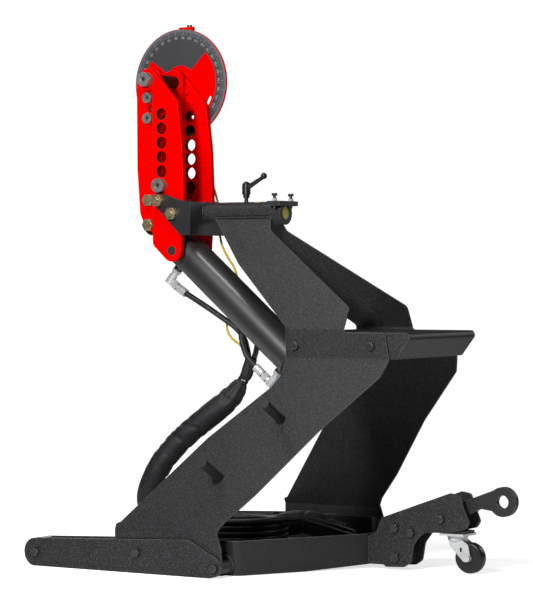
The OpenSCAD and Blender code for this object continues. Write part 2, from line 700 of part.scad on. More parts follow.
module degree_disc() color(black) difference() {
    bar_y(main_at, 2 * disc_r, disc_y0, disc_y0 + disc_t);
    bar_y(main_at, main_d + 2 * fit, 0, 200);
    bar_y(main_at + [36, -86], 10.5, 0, 200);
    // Slot round the pin, between two angles from the top
    slab([for (side = [1, -1], a = side > 0 ? [114:4:134] : [134:-4:114])
        let (p = on_disc(slot_r + side * slot_w / 2, a)) [p.x, p.y, 0]], 0, 200);
    for (a = [114, 134]) bar_y(on_disc(slot_r, a), slot_w, 0, 200);
}

// Block on the rim that trips the angle sensor, with its two screws
module trip_stop() color(red) {
    at = main_at + [10, disc_r];
    difference() {
        translate([at.x - 13, disc_y0 - 2, at.y - 6]) cube([42, disc_t + 4, 10]);
        bar_y(main_at, 2 * (disc_r + rim_gap), 0, 200);
    }
    for (x = [12, 21]) translate([at.x + x, disc_y0 + disc_t / 2, at.y + 4]) cylinder(d = 6, h = 5);
}

// ---- Cylinder ----

module barrel() color(black) along() difference() {
    translate([0, 0, gland_half]) cylinder(d = barrel_d, h = barrel_len - cap_len - gland_half);
    translate([0, 0, gland_half - 1]) cylinder(d = bore_d, h = barrel_len);
}

module trunnion_collar() color(black) {
    along() difference() {
        union() {
            translate([0, 0, -gland_half]) cylinder(d = gland_d, h = 2 * gland_half);
            port_boss(port_up_at, gland_d / 2);
        }
        translate([0, 0, -gland_half - 1]) cylinder(d = bore_d, h = 2 * gland_half + 2);
        port_hole(port_up_at);
    }
    both() bar_y(trunnion_at, trunnion_d, stub_y0, fixed_out_y);
    both() difference() {
        bar_y(trunnion_at, 38, stub_y0, fixed_in_y - seat);
        bar_y(trunnion_at, trunnion_d, 0, 200);
    }
}

module port_hole(at) translate([bore_d / 2 - 4, 0, at]) rotate([0, 90, 0]) cylinder(d = 14, h = 40);

module port_boss(at, r) translate([stub_y0, 0, at]) rotate([0, 90, 0])
    cylinder(d = 23, h = r + boss_h - stub_y0);

module base_cap() color(black) along() difference() {
    union() {
        translate([0, 0, barrel_len - cap_len]) cylinder(d = barrel_d, h = cap_len);
        port_boss(port_low_at, barrel_d / 2);
    }
    port_hole(port_low_at);
}

module rod_gland() color(steel) along() difference() {
    translate([0, 0, -gland_half - 4]) cylinder(d = bore_d - 2 * fit, h = 2 * gland_half + 4);
    translate([0, 0, -gland_half - 5]) cylinder(d = rod_d + 2 * fit, h = 2 * gland_half + 6);
}

module piston() color(steel) along() difference() {
    translate([0, 0, piston_z0]) cylinder(d = bore_d - 2 * fit, h = piston_len);
    for (z = [9, 22]) translate([0, 0, piston_z0 + z]) difference() {
        cylinder(d = bore_d + 2, h = 5);
        translate([0, 0, -1]) cylinder(d = bore_d - 6, h = 7);
    }
}

module piston_rod() color(steel) along() {
    z0 = -closed_len + rod_eye_r - 2;
    translate([0, 0, z0]) cylinder(d = rod_d, h = piston_z0 - z0);
}

module rod_eye() color(black) difference() {
    union() {
        bar_y(rod_pin_at, 2 * rod_eye_r, -cheek_in_y + 1, cheek_in_y - 1);
        along() translate([0, 0, -closed_len]) cylinder(d = rod_d + 4, h = rod_eye_r + 8);
    }
    bar_y(rod_pin_at, stub_d + 2, -200, 200);
    along() translate([0, 0, -closed_len + rod_eye_r - 2]) cylinder(d = rod_d, h = 50);
    both() bar_y(rod_pin_at, 200, cheek_in_y - 1, cheek_in_y + 40);
}

// Adapter and elbow at a port; turn = 1 points the hose down the barrel, -1 up it
module fitting(at, turn, seat_r) translate([0, 0, at]) {
    translate([seat_r, 0, 0]) rotate([0, 90, 0]) cylinder(d = 27, h = 8, $fn = 6);
    translate([seat_r, 0, 0]) rotate([0, 90, 0]) cylinder(d = 18, h = port_out - seat_r);
    translate([port_out - 12, 0, 0]) rotate([0, 90, 0]) cylinder(d = 22, h = 21);
    rotate([turn > 0 ? 0 : 180, 0, 0]) translate([port_out, 0, 0]) {
        cylinder(d = 17, h = 24);
        translate([0, 0, 15]) cylinder(d = 24, h = 13, $fn = 6);
    }
}

module port_fittings() color(zinc) along() {
    fitting(port_up_at, 1, gland_d / 2 + boss_h + 0.1);
    fitting(port_low_at, -1, barrel_d / 2 + boss_h + 0.1);
    translate([port_out, 0, port_up_at + 28]) ferrule(-8);
    translate([port_out, 0, port_low_at - 28]) rotate([180, 0, 0]) ferrule(0);
}

// Crimped ferrule between an elbow and its hose
module ferrule(lean) rotate([0, lean, 0]) {
    cylinder(d = 13, h = 6);
    translate([0, 0, 4]) cylinder(d = 21, h = 26);
}

module hose_upper() color(rubber) run(hose_upper_route, hose_d, 8);
module hose_lower() color(rubber) run(hose_lower_route, hose_d, 8);

// The same two hoses from the sleeve's end onto the coil, and off it to their couplers
module hose_leads() color(rubber) for (route = [inner_lead, outer_lead, low_tail, high_tail])
    run(route, hose_d, 8);

// ---- Clamp on the end of the spine ----

module end_collar() color(charcoal) difference() {
    bar_x_way([0, collar_z], collar_d, collar_x0, collar_x0 + collar_len);
    bar_x_way([0, collar_z], collar_bore_d, collar_x0 - 1, collar_x0 + collar_len + 1);
    translate([collar_x0 - 1, -60, bar_top_z - bar_t]) cube([60, 120, 40]);
    translate([collar_x0 + 11, -60, bar_top_z - bar_t - 12]) cube([5, 40, 40]);
}

module tube_plug() color(yellow)
    bar_x_way([0, collar_z], collar_bore_d - 2 * fit, collar_x0 + 10, collar_x0 + collar_len - 1.5);

module cross_bar() color(charcoal) difference() {
    union() {
        translate([bar_x[0], -bar_half_w, bar_top_z - bar_t])
            cube([bar_x[1] - bar_x[0], 2 * bar_half_w, bar_t]);
        translate([bar_x[0] - 28, -20, bar_top_z - bar_t]) cube([29, 40, bar_t - 2]);
    }
    bar_x_way([0, spine_z], spine_d + 2 * fit, -400, spine_x1 + 0.5);
    for (y = [-screw_y, screw_y]) bar_z([screw_x, y], screw_d + 2 * fit, 0, 1000);
}

module thumb_screw(y) color(black) {
    bar_z([screw_x, y], screw_d, bar_top_z - bar_t - 6, bar_top_z + 10);
    translate([screw_x, y, bar_top_z + 10]) cylinder(d1 = 7, d2 = 9, h = 3);
    for (side = [-1, 1]) translate([screw_x + side * 4, y + 1.5, bar_top_z + 15.5])
        rotate([90, 0, 0]) cylinder(d = 7.5, h = 3);
}

module thumb_screw_front() thumb_screw(-screw_y);
module thumb_screw_rear() thumb_screw(screw_y);

module lock_nuts() color(zinc) for (y = [-screw_y, screw_y]) difference() {
    translate([screw_x, y, bar_top_z]) cylinder(d = 15, h = 6.5, $fn = 6);
    bar_z([screw_x, y], screw_d + 2 * fit, 0, 1000);
}

module clamp_lever() color(black) {
    z0 = spine_z + spine_d / 2;
    bar_z([lever_x, 0], lever_stud_d, spine_z - 10, z0 + 14);
    translate([lever_x, 0, z0 + 10]) {
        cylinder(d = 16, h = 12);
        translate([0, 0, 8]) cylinder(d = 21, h = 22);
        translate([0, 0, 30]) sphere(d = 21);
    }
    difference() {
        translate([lever_x, 0, z0 + 33]) rotate([0, 61, 0]) cylinder(d1 = 13, d2 = 9, h = 58);
        bar_z([lever_x, 0], 12, 0, z0 + 30);
    }
    translate([lever_x + 51, 0, z0 + 63]) sphere(d = 16);
}

// ---- Angle sensor, hoses and cable ----

module sensor_box() color(black) {
    gland = cable_route[0];
    translate([gland.x - 16, fixed_out_y, gland.z + 10]) cube([30, 26, 40]);
    translate(gland + [0, 0, seat]) cylinder(d = 11, h = 11);
}

module hose_sleeve() color(cloth)
    run(sleeve_route, [for (i = [0:len(sleeve_route) - 1])
        i < len(neck_widths) ? neck_widths[i] : sleeve_d], 12);
module sensor_cable() color(yellow) for (route = [cable_route, cable_lead])
    run(route, cable_d, 8);

module ring(r, d, rows) translate([coil_at.x, coil_at.y, coil_z0]) rotate_extrude()
    translate([r - d / 2, 0]) square([d, rows]);

module hose_coil() color(rubber) ring(coil_mean_r, 2 * hose_d + 4, coil_rows * hose_d);
module cable_coil() color(yellow) ring(cable_coil_r, 2 * cable_d, 2 * cable_d);

// Quick couplers on the tray's floor, and the cable's plug
module couplers() color(zinc) {
    for (at = couplers_at) translate([at.x, at.y, coil_z0 + 15.5]) rotate([0, -90, 0]) {
        cylinder(d = 24, h = 22, $fn = 6);
        translate([0, 0, 22]) cylinder(d = 30, h = 48);
    }
    translate([coil_at.x, coil_at.y + cable_coil_r + cable_d + 8 + seat, coil_z0 + 8])
        rotate([0, 90, 0]) cylinder(d = 16, h = 42);
}

side_plate_front();
side_plate_rear();
spine_tube();
head_bracket();
ear_bolts();
fixed_arm_front();
fixed_arm_rear();
main_pin();
degree_disc();
trip_stop();
swing_arm_front();
swing_arm_rear();
arm_cheeks();
arm_bolts();
drive_pins();
follower_pin();
barrel();
trunnion_collar();
base_cap();
piston();
piston_rod();
rod_eye();
rod_gland();
port_fittings();
hose_upper();
hose_lower();
hose_leads();
knee_channel();
frame_bolts();
tray();
leg_outer_front();
leg_inner_front();
leg_outer_rear();
leg_inner_rear();
leg_spacers();
leg_wheel_front();
leg_wheel_rear();
tow_plate_front();
tow_plate_rear();
tow_web();
tow_bolts();
tow_eye_bar();
caster_plate();
caster_fork();
caster_wheel();
caster_axle();
storage_pegs();
clamp_lever();
end_collar();
tube_plug();
cross_bar();
thumb_screw_front();
thumb_screw_rear();
lock_nuts();
sensor_box();
hose_sleeve();
hose_coil();
cable_coil();
couplers();
sensor_cable();
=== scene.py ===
import bpy
import math
import random
from mathutils import Matrix, Vector, noise


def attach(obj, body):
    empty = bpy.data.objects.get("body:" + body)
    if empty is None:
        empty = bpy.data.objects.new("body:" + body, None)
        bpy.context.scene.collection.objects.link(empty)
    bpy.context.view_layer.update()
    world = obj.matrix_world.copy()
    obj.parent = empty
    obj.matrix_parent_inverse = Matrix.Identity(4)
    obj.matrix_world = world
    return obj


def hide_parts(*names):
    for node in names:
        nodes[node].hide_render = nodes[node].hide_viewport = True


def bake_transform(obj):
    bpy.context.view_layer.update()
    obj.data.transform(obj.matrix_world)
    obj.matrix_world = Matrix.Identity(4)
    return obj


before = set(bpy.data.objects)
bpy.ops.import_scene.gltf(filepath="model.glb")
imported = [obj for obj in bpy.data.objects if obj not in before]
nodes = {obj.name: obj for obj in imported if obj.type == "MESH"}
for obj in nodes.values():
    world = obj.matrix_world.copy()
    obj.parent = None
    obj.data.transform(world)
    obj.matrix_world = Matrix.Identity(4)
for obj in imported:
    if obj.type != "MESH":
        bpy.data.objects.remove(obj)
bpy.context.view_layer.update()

random.seed(11)


def mm(*numbers):
    return Vector([n / 1000 for n in numbers])


def smoothLine(points, steps=5):
    # a curve through every point, with `steps` short pieces between two of them
    points = [Vector(p) for p in points]
    line = []
    for i in range(len(points) - 1):
        a, b, c, d = (points[max(i - 1, 0)], points[i], points[i + 1],
                      points[min(i + 2, len(points) - 1)])
        for k in range(steps):
            t = k / steps
            line.append(0.5 * (2 * b + (c - a) * t + (2 * a - 5 * b + 4 * c - d) * t * t
                               + (3 * b - a - 3 * c + d) * t ** 3))
    line.append(points[-1])
    return line


def lengthOf(line):
    return sum((b - a).length for a, b in zip(line, line[1:]))


def newPiece(name, verts, faces, material, body="root", smooth=True, uvs=None):
    mesh = bpy.data.meshes.new(name)
    mesh.from_pydata([tuple(v) for v in verts], [], faces)
    if uvs:
        layer = mesh.uv_layers.new(name="run")
        for loop in mesh.loops:
            layer.data[loop.index].uv = uvs[loop.vertex_index]
    mesh.materials.append(material)
    mesh.validate()
    mesh.update()
    for polygon in mesh.polygons:
        polygon.use_smooth = smooth
    piece = bpy.data.objects.new(name, mesh)
    bpy.context.scene.collection.objects.link(piece)
    if body:
        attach(piece, body)
    return piece


def ringsAlong(line):
    # a steady pair of side directions for every point of the line
    tangents = []
    for i in range(len(line)):
        tangents.append((line[min(i + 1, len(line) - 1)] - line[max(i - 1, 0)]).normalized())
    side = tangents[0].orthogonal().normalized()
    sides = []
    for t in tangents:
        side = (side - t * side.dot(t)).normalized()
        sides.append((side, t.cross(side)))
    return tangents, sides


def ringFaces(rows, count, caps=True):
    faces = []
    for i in range(rows - 1):
        for k in range(count):
            a, b = i * count + k, i * count + (k + 1) % count
            faces.append((a, b, b + count, a + count))
    if caps:
        faces.append(tuple(reversed(range(count))))
        faces.append(tuple(range((rows - 1) * count, rows * count)))
    return faces


def tube(line, radius, count=16, caps=True):
    # radius is a number, or a function of the distance along, the angle and the point's number
    tangents, sides = ringsAlong(line)
    verts, uvs = [], []
    run = 0.0
    for i, at in enumerate(line):
        if i:
            run += (at - line[i - 1]).length
        u, v = sides[i]
        for k in range(count):
            a = 2 * math.pi * k / count
            r = radius(run, a, i) if callable(radius) else radius
            verts.append(at + r * (math.cos(a) * u + math.sin(a) * v))
            # there and back round the tube, so that the print shows no seam
            uvs.append((k / count if k < count / 2 else 1 - k / count, run))
    return verts, ringFaces(len(line), count, caps), uvs


def lathe(profile, centre, axis, count=48):
    # profile is a list of (distance along the axis, radius)
    axis = Vector(axis).normalized()
    u = axis.orthogonal().normalized()
    v = axis.cross(u)
    verts = []
    for along, r in profile:
        for k in range(count):
            a = 2 * math.pi * k / count
            verts.append(Vector(centre) + axis * along + r * (math.cos(a) * u + math.sin(a) * v))
    return verts, ringFaces(len(profile), count)


cameraLook = {"place": (3.0792, -5.1432, 0.7), "azimuth": 31.87, "elevation": 0.74,
              "roll": -0.15, "lens": 145.35, "sensor": 36.0, "clip": (0.1, 60)}


def placeCamera(look):
    data = bpy.data.cameras.new("camera")
    data.lens, data.sensor_width = look["lens"], look["sensor"]
    data.clip_start, data.clip_end = look["clip"]
    az, el, roll = (math.radians(look[k]) for k in ("azimuth", "elevation", "roll"))
    back = Vector((math.sin(az) * math.cos(el), -math.cos(az) * math.cos(el), math.sin(el)))
    right = Vector((math.cos(az), math.sin(az), 0))
    up = back.cross(right)
    right, up = (right * math.cos(roll) + up * math.sin(roll),
                 up * math.cos(roll) - right * math.sin(roll))
    camera = bpy.data.objects.new("camera", data)
    camera.matrix_world = (Matrix.Translation(look["place"])
                           @ Matrix((right, up, back)).transposed().to_4x4())
    bpy.context.scene.collection.objects.link(camera)
    bpy.context.scene.camera = camera


placeCamera(cameraLook)
print("camera placed")


def add(tree, kind, settings=None, inputs=None):
    node = tree.nodes.new("ShaderNode" + kind)
    for key, value in (settings or {}).items():
        setattr(node, key, value)
    for key, value in (inputs or {}).items():
        if isinstance(value, bpy.types.NodeSocket):
            tree.links.new(value, node.inputs[key])
        else:
            node.inputs[key].default_value = value
    return node


def maths(tree, operation, *values):
    return add(tree, "Math", {"operation": operation}, dict(enumerate(values))).outputs[0]


def axisOf(tree, vector, axis):
    return add(tree, "SeparateXYZ", inputs={"Vector": vector}).outputs[axis]


def startMaterial(name, roughness, metallic=0.0, **sockets):
    material = bpy.data.materials.new(name)
    material.use_nodes = True
    tree = material.node_tree
    shader = tree.nodes["Principled BSDF"]
    shader.inputs["Roughness"].default_value = roughness
    shader.inputs["Metallic"].default_value = metallic
    for key, value in sockets.items():
        shader.inputs[key.replace("_", " ")].default_value = value
    return material, tree, shader


def rgb(colour):
    return (*colour, 1.0)


def places(tree, scale=(1, 1, 1), kind="Object"):
    coords = add(tree, "TexCoord")
    return add(tree, "Mapping", inputs={"Vector": coords.outputs[kind], "Scale": scale}).outputs[0]


def grainOf(tree, at, scale, detail=2.0, rough=0.5):
    return add(tree, "TexNoise", inputs={"Vector": at, "Scale": scale, "Detail": detail,
                                         "Roughness": rough}).outputs["Fac"]


def stretch(tree, value, low, high, toLow=0.0, toHigh=1.0):
    return add(tree, "MapRange", {"clamp": True}, {"Value": value, "From Min": low, "From Max": high,
                                                  "To Min": toLow, "To Max": toHigh}).outputs[0]


def mixColour(tree, share, first, second):
    node = add(tree, "Mix", {"data_type": "RGBA"}, {0: share})
    for index, value in ((6, first), (7, second)):
        if isinstance(value, bpy.types.NodeSocket):
            tree.links.new(value, node.inputs[index])
        else:
            node.inputs[index].default_value = rgb(value)
    return node.outputs[2]


def bumped(tree, height, strength, distance, normal=None):
    sockets = {"Height": height, "Strength": strength, "Distance": distance}
    if normal is not None:
        sockets["Normal"] = normal
    return add(tree, "Bump", inputs=sockets).outputs[0]


def wire(tree, shader, colour, normal, rough=None):
    tree.links.new(colour, shader.inputs["Base Color"])
    tree.links.new(normal, shader.inputs["Normal"])
    if rough is not None:
        tree.links.new(rough, shader.inputs["Roughness"])


edgeLook = {"samples": 4, "flat": 0.992, "sharp": 0.78}


def softEdges(tree, radius):
    # rounded edges for the light, and how near an edge each place is
    bevel = add(tree, "Bevel", {"samples": edgeLook["samples"]}, {"Radius": radius}).outputs[0]
    flat = add(tree, "NewGeometry").outputs["Normal"]
    same = add(tree, "VectorMath", {"operation": "DOT_PRODUCT"}, {0: bevel, 1: flat}).outputs["Value"]
    return bevel, stretch(tree, same, edgeLook["flat"], edgeLook["sharp"])


paintUsual = {"coat": 0.0, "coatRough": 0.3, "shine": 0.5, "cloudScale": 9, "specks": 0, "speckFade": 0.06,
              "edgeRadius": 0.0012, "edgeWearAndHighlight": 0.3, "bump": 0.35, "smoother": 0.06, "rougher": 0.08}


def paint(name, changes):
    # powder coat or enamel over steel: cloudy colour, fine grain, specks, thin light edges that are partly
    # wear and partly a painted highlight
    look = {**paintUsual, **changes}
    material, tree, shader = startMaterial(name, look["rough"], Coat_Weight=look["coat"],
                                           Coat_Roughness=look["coatRough"],
                                           Specular_IOR_Level=look["shine"])
    at = places(tree)
    clouds = stretch(tree, grainOf(tree, at, look["cloudScale"], 4), 0.3, 0.7)
    colour = mixColour(tree, clouds, look["dark"], look["light"])
    grain = grainOf(tree, at, look["grainScale"], 3, 0.6)
    if look["specks"]:
        specks = stretch(tree, grainOf(tree, at, look["speckScale"], 1), look["speckFrom"],
                         look["speckFrom"] + look["speckFade"], 0, look["specks"])
        colour = mixColour(tree, specks, colour, look["speckColour"])
    normal, edge = softEdges(tree, look["edgeRadius"])
    # edges lightened: partly wear, partly a painted highlight along edges and folds
    wornAndLitEdge = maths(tree, "MULTIPLY", edge, look["edgeWearAndHighlight"])
    colour = mixColour(tree, wornAndLitEdge, colour, look.get("edgeWearAndHighlightColour", look["light"]))
    if "bores" in look:  # walls of the holes in one column, darker than bare steel: partly the bare wall, partly painted shade inside the holes
        x, half, low, high = look["bores"]
        beside = maths(tree, "COMPARE", axisOf(tree, at, "X"), x, half)
        level = maths(tree, "COMPARE", axisOf(tree, at, "Z"), (low + high) / 2, (high - low) / 2)
        facing = axisOf(tree, add(tree, "NewGeometry").outputs["Normal"], "Y")
        wall = maths(tree, "COMPARE", facing, 0.0, 0.5)
        inside = maths(tree, "MULTIPLY", maths(tree, "MULTIPLY", beside, level), wall)
        colour = mixColour(tree, inside, colour, look["bareBoreAndShadeColour"])
    if "above" in look:  # screw heads of another colour on top of a painted block
        over = maths(tree, "GREATER_THAN", axisOf(tree, at, "Z"), look["above"])
        colour = mixColour(tree, over, colour, look["aboveColour"])
    rough = stretch(tree, grain, 0.3, 0.7, look["rough"] - look["smoother"],
                    look["rough"] + look["rougher"])
    wire(tree, shader, colour, bumped(tree, grain, look["bump"], look["grainDepth"], normal), rough)
    return material


metalUsual = {"metal": 1.0, "cloudScale": 60, "drawn": (300, 2500, 300), "edgeRadius": 0.0007, "edgeWearAndHighlight": 0.4,
              "aoShadeReach": 0, "aoShadeShare": 0.85, "aoShadeColour": (0.012, 0.011, 0.010), "bump": 0.15,
              "scratchDepth": 0.0002, "smoother": 0.08, "rougher": 0.1}


def bareMetal(name, changes):
    # plated or machined metal: cloudy tint, drawn scratches, bright edges that are partly wear and partly a
    # painted highlight
    look = {**metalUsual, **changes}
    material, tree, shader = startMaterial(name, look["rough"], look["metal"])
    at = places(tree)
    clouds = stretch(tree, grainOf(tree, at, look["cloudScale"], 3), 0.35, 0.65)
    colour = mixColour(tree, clouds, look["dark"], look["light"])
    scratches = grainOf(tree, places(tree, look["drawn"]), 1.0, 3)
    if look["edgeRadius"]:
        normal, edge = softEdges(tree, look["edgeRadius"])
        # edges lightened: partly wear, partly a painted highlight
        wornAndLitEdge = maths(tree, "MULTIPLY", edge, look["edgeWearAndHighlight"])
        colour = mixColour(tree, wornAndLitEdge, colour, look.get("edgeWearAndHighlightColour", look["light"]))
    else:
        normal = add(tree, "NewGeometry").outputs["Normal"]
    if look["aoShadeReach"]:  # painted shade: corners and sockets darkened by ambient occlusion
        aoOpenness = add(tree, "AmbientOcclusion", {"samples": 8}, {"Distance": look["aoShadeReach"]}).outputs["AO"]
        colour = mixColour(tree, stretch(tree, aoOpenness, 0.25, 0.75, look["aoShadeShare"], 0.0), colour,
                           look["aoShadeColour"])
    if "darkMiddleHalf" in look:  # the pin coloured darker along the stretch between the arms
        darkMiddle = maths(tree, "COMPARE", axisOf(tree, at, "Y"), 0.0, look["darkMiddleHalf"])
        colour = mixColour(tree, darkMiddle, colour, look["darkMiddleColour"])
    rough = stretch(tree, scratches, 0.3, 0.7, look["rough"] - look["smoother"],
                    look["rough"] + look["rougher"])
    wire(tree, shader, colour, bumped(tree, scratches, look["bump"], look["scratchDepth"], normal), rough)
    return material


mouldedUsual = {"shine": 0.4, "cloudScale": 40, "grainScale": 1800, "edgeRadius": 0.0008, "edgeWearAndHighlight": 0.25,
                "bump": 0.2, "grainDepth": 0.0002}


def moulded(name, changes):
    # rubber or plastic with a fine moulded grain
    look = {**mouldedUsual, **changes}
    material, tree, shader = startMaterial(name, look["rough"], Specular_IOR_Level=look["shine"])
    at = places(tree)
    clouds = stretch(tree, grainOf(tree, at, look["cloudScale"], 3), 0.3, 0.7)
    colour = mixColour(tree, clouds, look["dark"], look["light"])
    grain = grainOf(tree, at, look["grainScale"], 2)
    normal, edge = softEdges(tree, look["edgeRadius"])
    # edges lightened: partly wear, partly a painted highlight
    wornAndLitEdge = maths(tree, "MULTIPLY", edge, look["edgeWearAndHighlight"])
    colour = mixColour(tree, wornAndLitEdge, colour, look.get("edgeWearAndHighlightColour", look["light"]))
    wire(tree, shader, colour, bumped(tree, grain, look["bump"], look["grainDepth"], normal))
    return material


def wrappedHose(name, look):
    # rubber cover with the slant print of the wrapping cloth, along the run of the hose
    material, tree, shader = startMaterial(name, look["rough"])
    at = places(tree, look["print"], "UV")
    slant = add(tree, "TexWave", {"wave_type": "BANDS", "bands_direction": "DIAGONAL"},
                {"Vector": add(tree, "Mapping", inputs={"Vector": at, "Scale": look["wrap"]}).outputs[0],
                 "Scale": 1.0, "Distortion": 0.3, "Detail": 1.0}).outputs["Fac"]
    dust = grainOf(tree, places(tree), look["dustScale"], 4, 0.7)
    colour = mixColour(tree, stretch(tree, dust, 0.45, 0.75), look["dark"], look["light"])
    wire(tree, shader, colour, bumped(tree, slant, look["bump"], look["printDepth"]))
    return material


def wovenSleeve(name, look):
    # thin woven nylon: crossed threads, creases a little greyer, soft sheen
    material, tree, shader = startMaterial(name, look["rough"], Sheen_Weight=look["sheen"],
                                           Sheen_Roughness=look["sheenRough"],
                                           Sheen_Tint=rgb(look["sheenTint"]))
    weave = []
    for scale, direction in zip(look["threads"], "XY"):
        at = places(tree, (look["round"], 1, 1), "UV")
        weave.append(add(tree, "TexWave", {"wave_type": "BANDS", "bands_direction": direction},
                         {"Vector": at, "Scale": scale, "Distortion": 0.4}).outputs["Fac"])
    cloth = maths(tree, "MULTIPLY", *weave)
    soft = grainOf(tree, places(tree), look["softScale"], 5, 0.65)
    colour = mixColour(tree, stretch(tree, soft, 0.35, 0.7), look["dark"], look["light"])
    shown = stretch(tree, cloth, 0.0, 1.0, 0.0, look["threadShare"])
    colour = mixColour(tree, shown, colour, look["thread"])
    small = bumped(tree, cloth, 0.3, look["threadDepth"])
    wire(tree, shader, colour, bumped(tree, soft, 0.5, look["softDepth"], small))
    return material



# the edge colours in these looks are partly wear, partly a painted highlight on edges and folds
charcoalLook = {"dark": (0.0085, 0.0085, 0.0085), "light": (0.0145, 0.014, 0.0135), "rough": 0.46,
                "grainScale": 560, "grainDepth": 0.0005, "bump": 0.5, "specks": 0.65,
                "speckScale": 640, "speckFrom": 0.57, "speckColour": (0.095, 0.102, 0.115),
                "edgeWearAndHighlight": 0.7, "edgeWearAndHighlightColour": (0.24, 0.245, 0.25), "edgeRadius": 0.0018, "cloudScale": 5,
                "shine": 0.35}
redLook = {"dark": (0.67, 0.0, 0.0), "light": (0.74, 0.0, 0.0), "rough": 0.55, "shine": 0.0,
           "grainScale": 260, "grainDepth": 0.00025, "bump": 0.1, "edgeWearAndHighlight": 0.5,
           "edgeWearAndHighlightColour": (0.95, 0.10, 0.07), "cloudScale": 4}
headBlackLook = {"dark": (0.014, 0.014, 0.015), "light": (0.024, 0.024, 0.025), "rough": 0.42, "shine": 0.4,
                 "grainScale": 620, "grainDepth": 0.0004, "bump": 0.35, "specks": 0.35,
                 "speckScale": 800, "speckFrom": 0.64, "speckColour": (0.12, 0.12, 0.13),
                 "edgeWearAndHighlight": 0.5, "edgeWearAndHighlightColour": (0.12, 0.12, 0.12)}
cylinderLook = {"dark": (0.013, 0.012, 0.0115), "light": (0.021, 0.019, 0.018), "rough": 0.44,
                "coat": 0.7, "coatRough": 0.2, "grainScale": 900, "grainDepth": 0.0002, "bump": 0.15,
                "specks": 0.2, "speckScale": 900, "speckFrom": 0.64, "speckColour": (0.06, 0.06, 0.06),
                "edgeWearAndHighlight": 0.4, "edgeWearAndHighlightColour": (0.09, 0.09, 0.09), "shine": 0.6}

charcoal = paint("charcoalPowderCoat", charcoalLook)
# the light tray edge paints the bright rim line: partly wear, partly a painted highlight
trayCoat = paint("traySatinCoat", {**charcoalLook, "rough": 0.36, "specks": 0.25, "bump": 0.25, "coat": 0.15,
                                   "edgeWearAndHighlight": 0.9, "edgeWearAndHighlightColour": (0.32, 0.33, 0.35)})
redCoat = paint("redPowderCoat", redLook)
# bore colour: bare hole walls darkened further as painted shade
boredCoat = paint("redCoatBored", {**redLook, "bores": (-0.380, 0.0158, 0.900, 1.120),
                                   "bareBoreAndShadeColour": (0.035, 0.026, 0.022)})
stopCoat = paint("tripStopCoat", {**redLook, "above": 1.3262, "aboveColour": (0.02, 0.018, 0.018)})
headBlack = paint("blackPowderCoat", headBlackLook)
cylinderPaint = paint("cylinderEnamel", cylinderLook)
printLook = {"rough": 0.5, "grainScale": 500, "grainDepth": 0.0001, "bump": 0.1, "edgeWearAndHighlight": 0.0}
dialPrint = paint("dialPrint", {**printLook, "dark": (0.035, 0.036, 0.040), "light": (0.042, 0.043, 0.047)})
dialGrey = paint("dialRing", {**printLook, "dark": (0.085, 0.095, 0.112), "light": (0.10, 0.11, 0.13)})
dialMarks = paint("dialMarks", {**printLook, "dark": (0.25, 0.26, 0.28), "light": (0.33, 0.34, 0.36)})
# these metal looks darken corners and sockets as painted shade (ambient occlusion)
steelLook = {"dark": (0.26, 0.255, 0.25), "light": (0.36, 0.355, 0.35), "rough": 0.42, "metal": 0.75,
             "edgeWearAndHighlightColour": (0.6, 0.6, 0.6), "aoShadeReach": 0.007}
machined = bareMetal("machinedSteel", steelLook)
pinSteel = bareMetal("pinSteel", {**steelLook, "aoShadeReach": 0.009, "darkMiddleHalf": 0.0575,
                                  "darkMiddleColour": (0.020, 0.014, 0.012)})
chrome = bareMetal("hardChrome", {"dark": (0.7, 0.71, 0.73), "light": (0.8, 0.8, 0.82), "rough": 0.12,
                                  "bump": 0.04})
blackBolt = bareMetal("blackOxide", {"dark": (0.03, 0.03, 0.03), "light": (0.055, 0.055, 0.055),
                                     "rough": 0.3, "metal": 0.5, "edgeWearAndHighlightColour": (0.45, 0.45, 0.45),
                                     "edgeRadius": 0.0012, "aoShadeReach": 0.006})
goldBolt = bareMetal("yellowZinc", {"dark": (0.30, 0.235, 0.115), "light": (0.50, 0.42, 0.24), "rough": 0.28,
                                    "metal": 0.7, "cloudScale": 70, "edgeWearAndHighlightColour": (0.95, 0.9, 0.7),
                                    "edgeRadius": 0.0014, "bump": 0.02, "drawn": (80, 80, 80),
                                    "aoShadeReach": 0.008})
zinc = bareMetal("brightZinc", {"dark": (0.60, 0.61, 0.62), "light": (0.72, 0.73, 0.74), "rough": 0.36,
                                "metal": 0.45, "cloudScale": 30, "bump": 0.0, "drawn": (40, 40, 40),
                                "edgeRadius": 0})
bronze = bareMetal("bronzeBush", {"dark": (0.40, 0.27, 0.10), "light": (0.55, 0.38, 0.16), "rough": 0.35})
hoseRubber = wrappedHose("hoseRubber", {"dark": (0.010, 0.010, 0.010), "light": (0.035, 0.034, 0.032),
                                        "rough": 0.42, "print": (2, 1, 1), "wrap": (2, 900, 1),
                                        "dustScale": 120, "bump": 0.3, "printDepth": 0.0003})
treadRubber = moulded("treadRubber", {"dark": (0.008, 0.008, 0.008), "light": (0.018, 0.018, 0.018),
                                      "rough": 0.32, "edgeWearAndHighlightColour": (0.05, 0.05, 0.05)})
blackPlastic = moulded("blackPlastic", {"dark": (0.007, 0.007, 0.007), "light": (0.014, 0.014, 0.014),
                                        "rough": 0.35, "edgeWearAndHighlightColour": (0.06, 0.06, 0.06)})
yellowPlastic = moulded("yellowPlastic", {"dark": (0.50, 0.40, 0.02), "light": (0.66, 0.54, 0.04),
                                          "rough": 0.4})
yellowJacket = moulded("yellowJacket", {"dark": (0.62, 0.42, 0.02), "light": (0.75, 0.52, 0.03),
                                        "rough": 0.4})
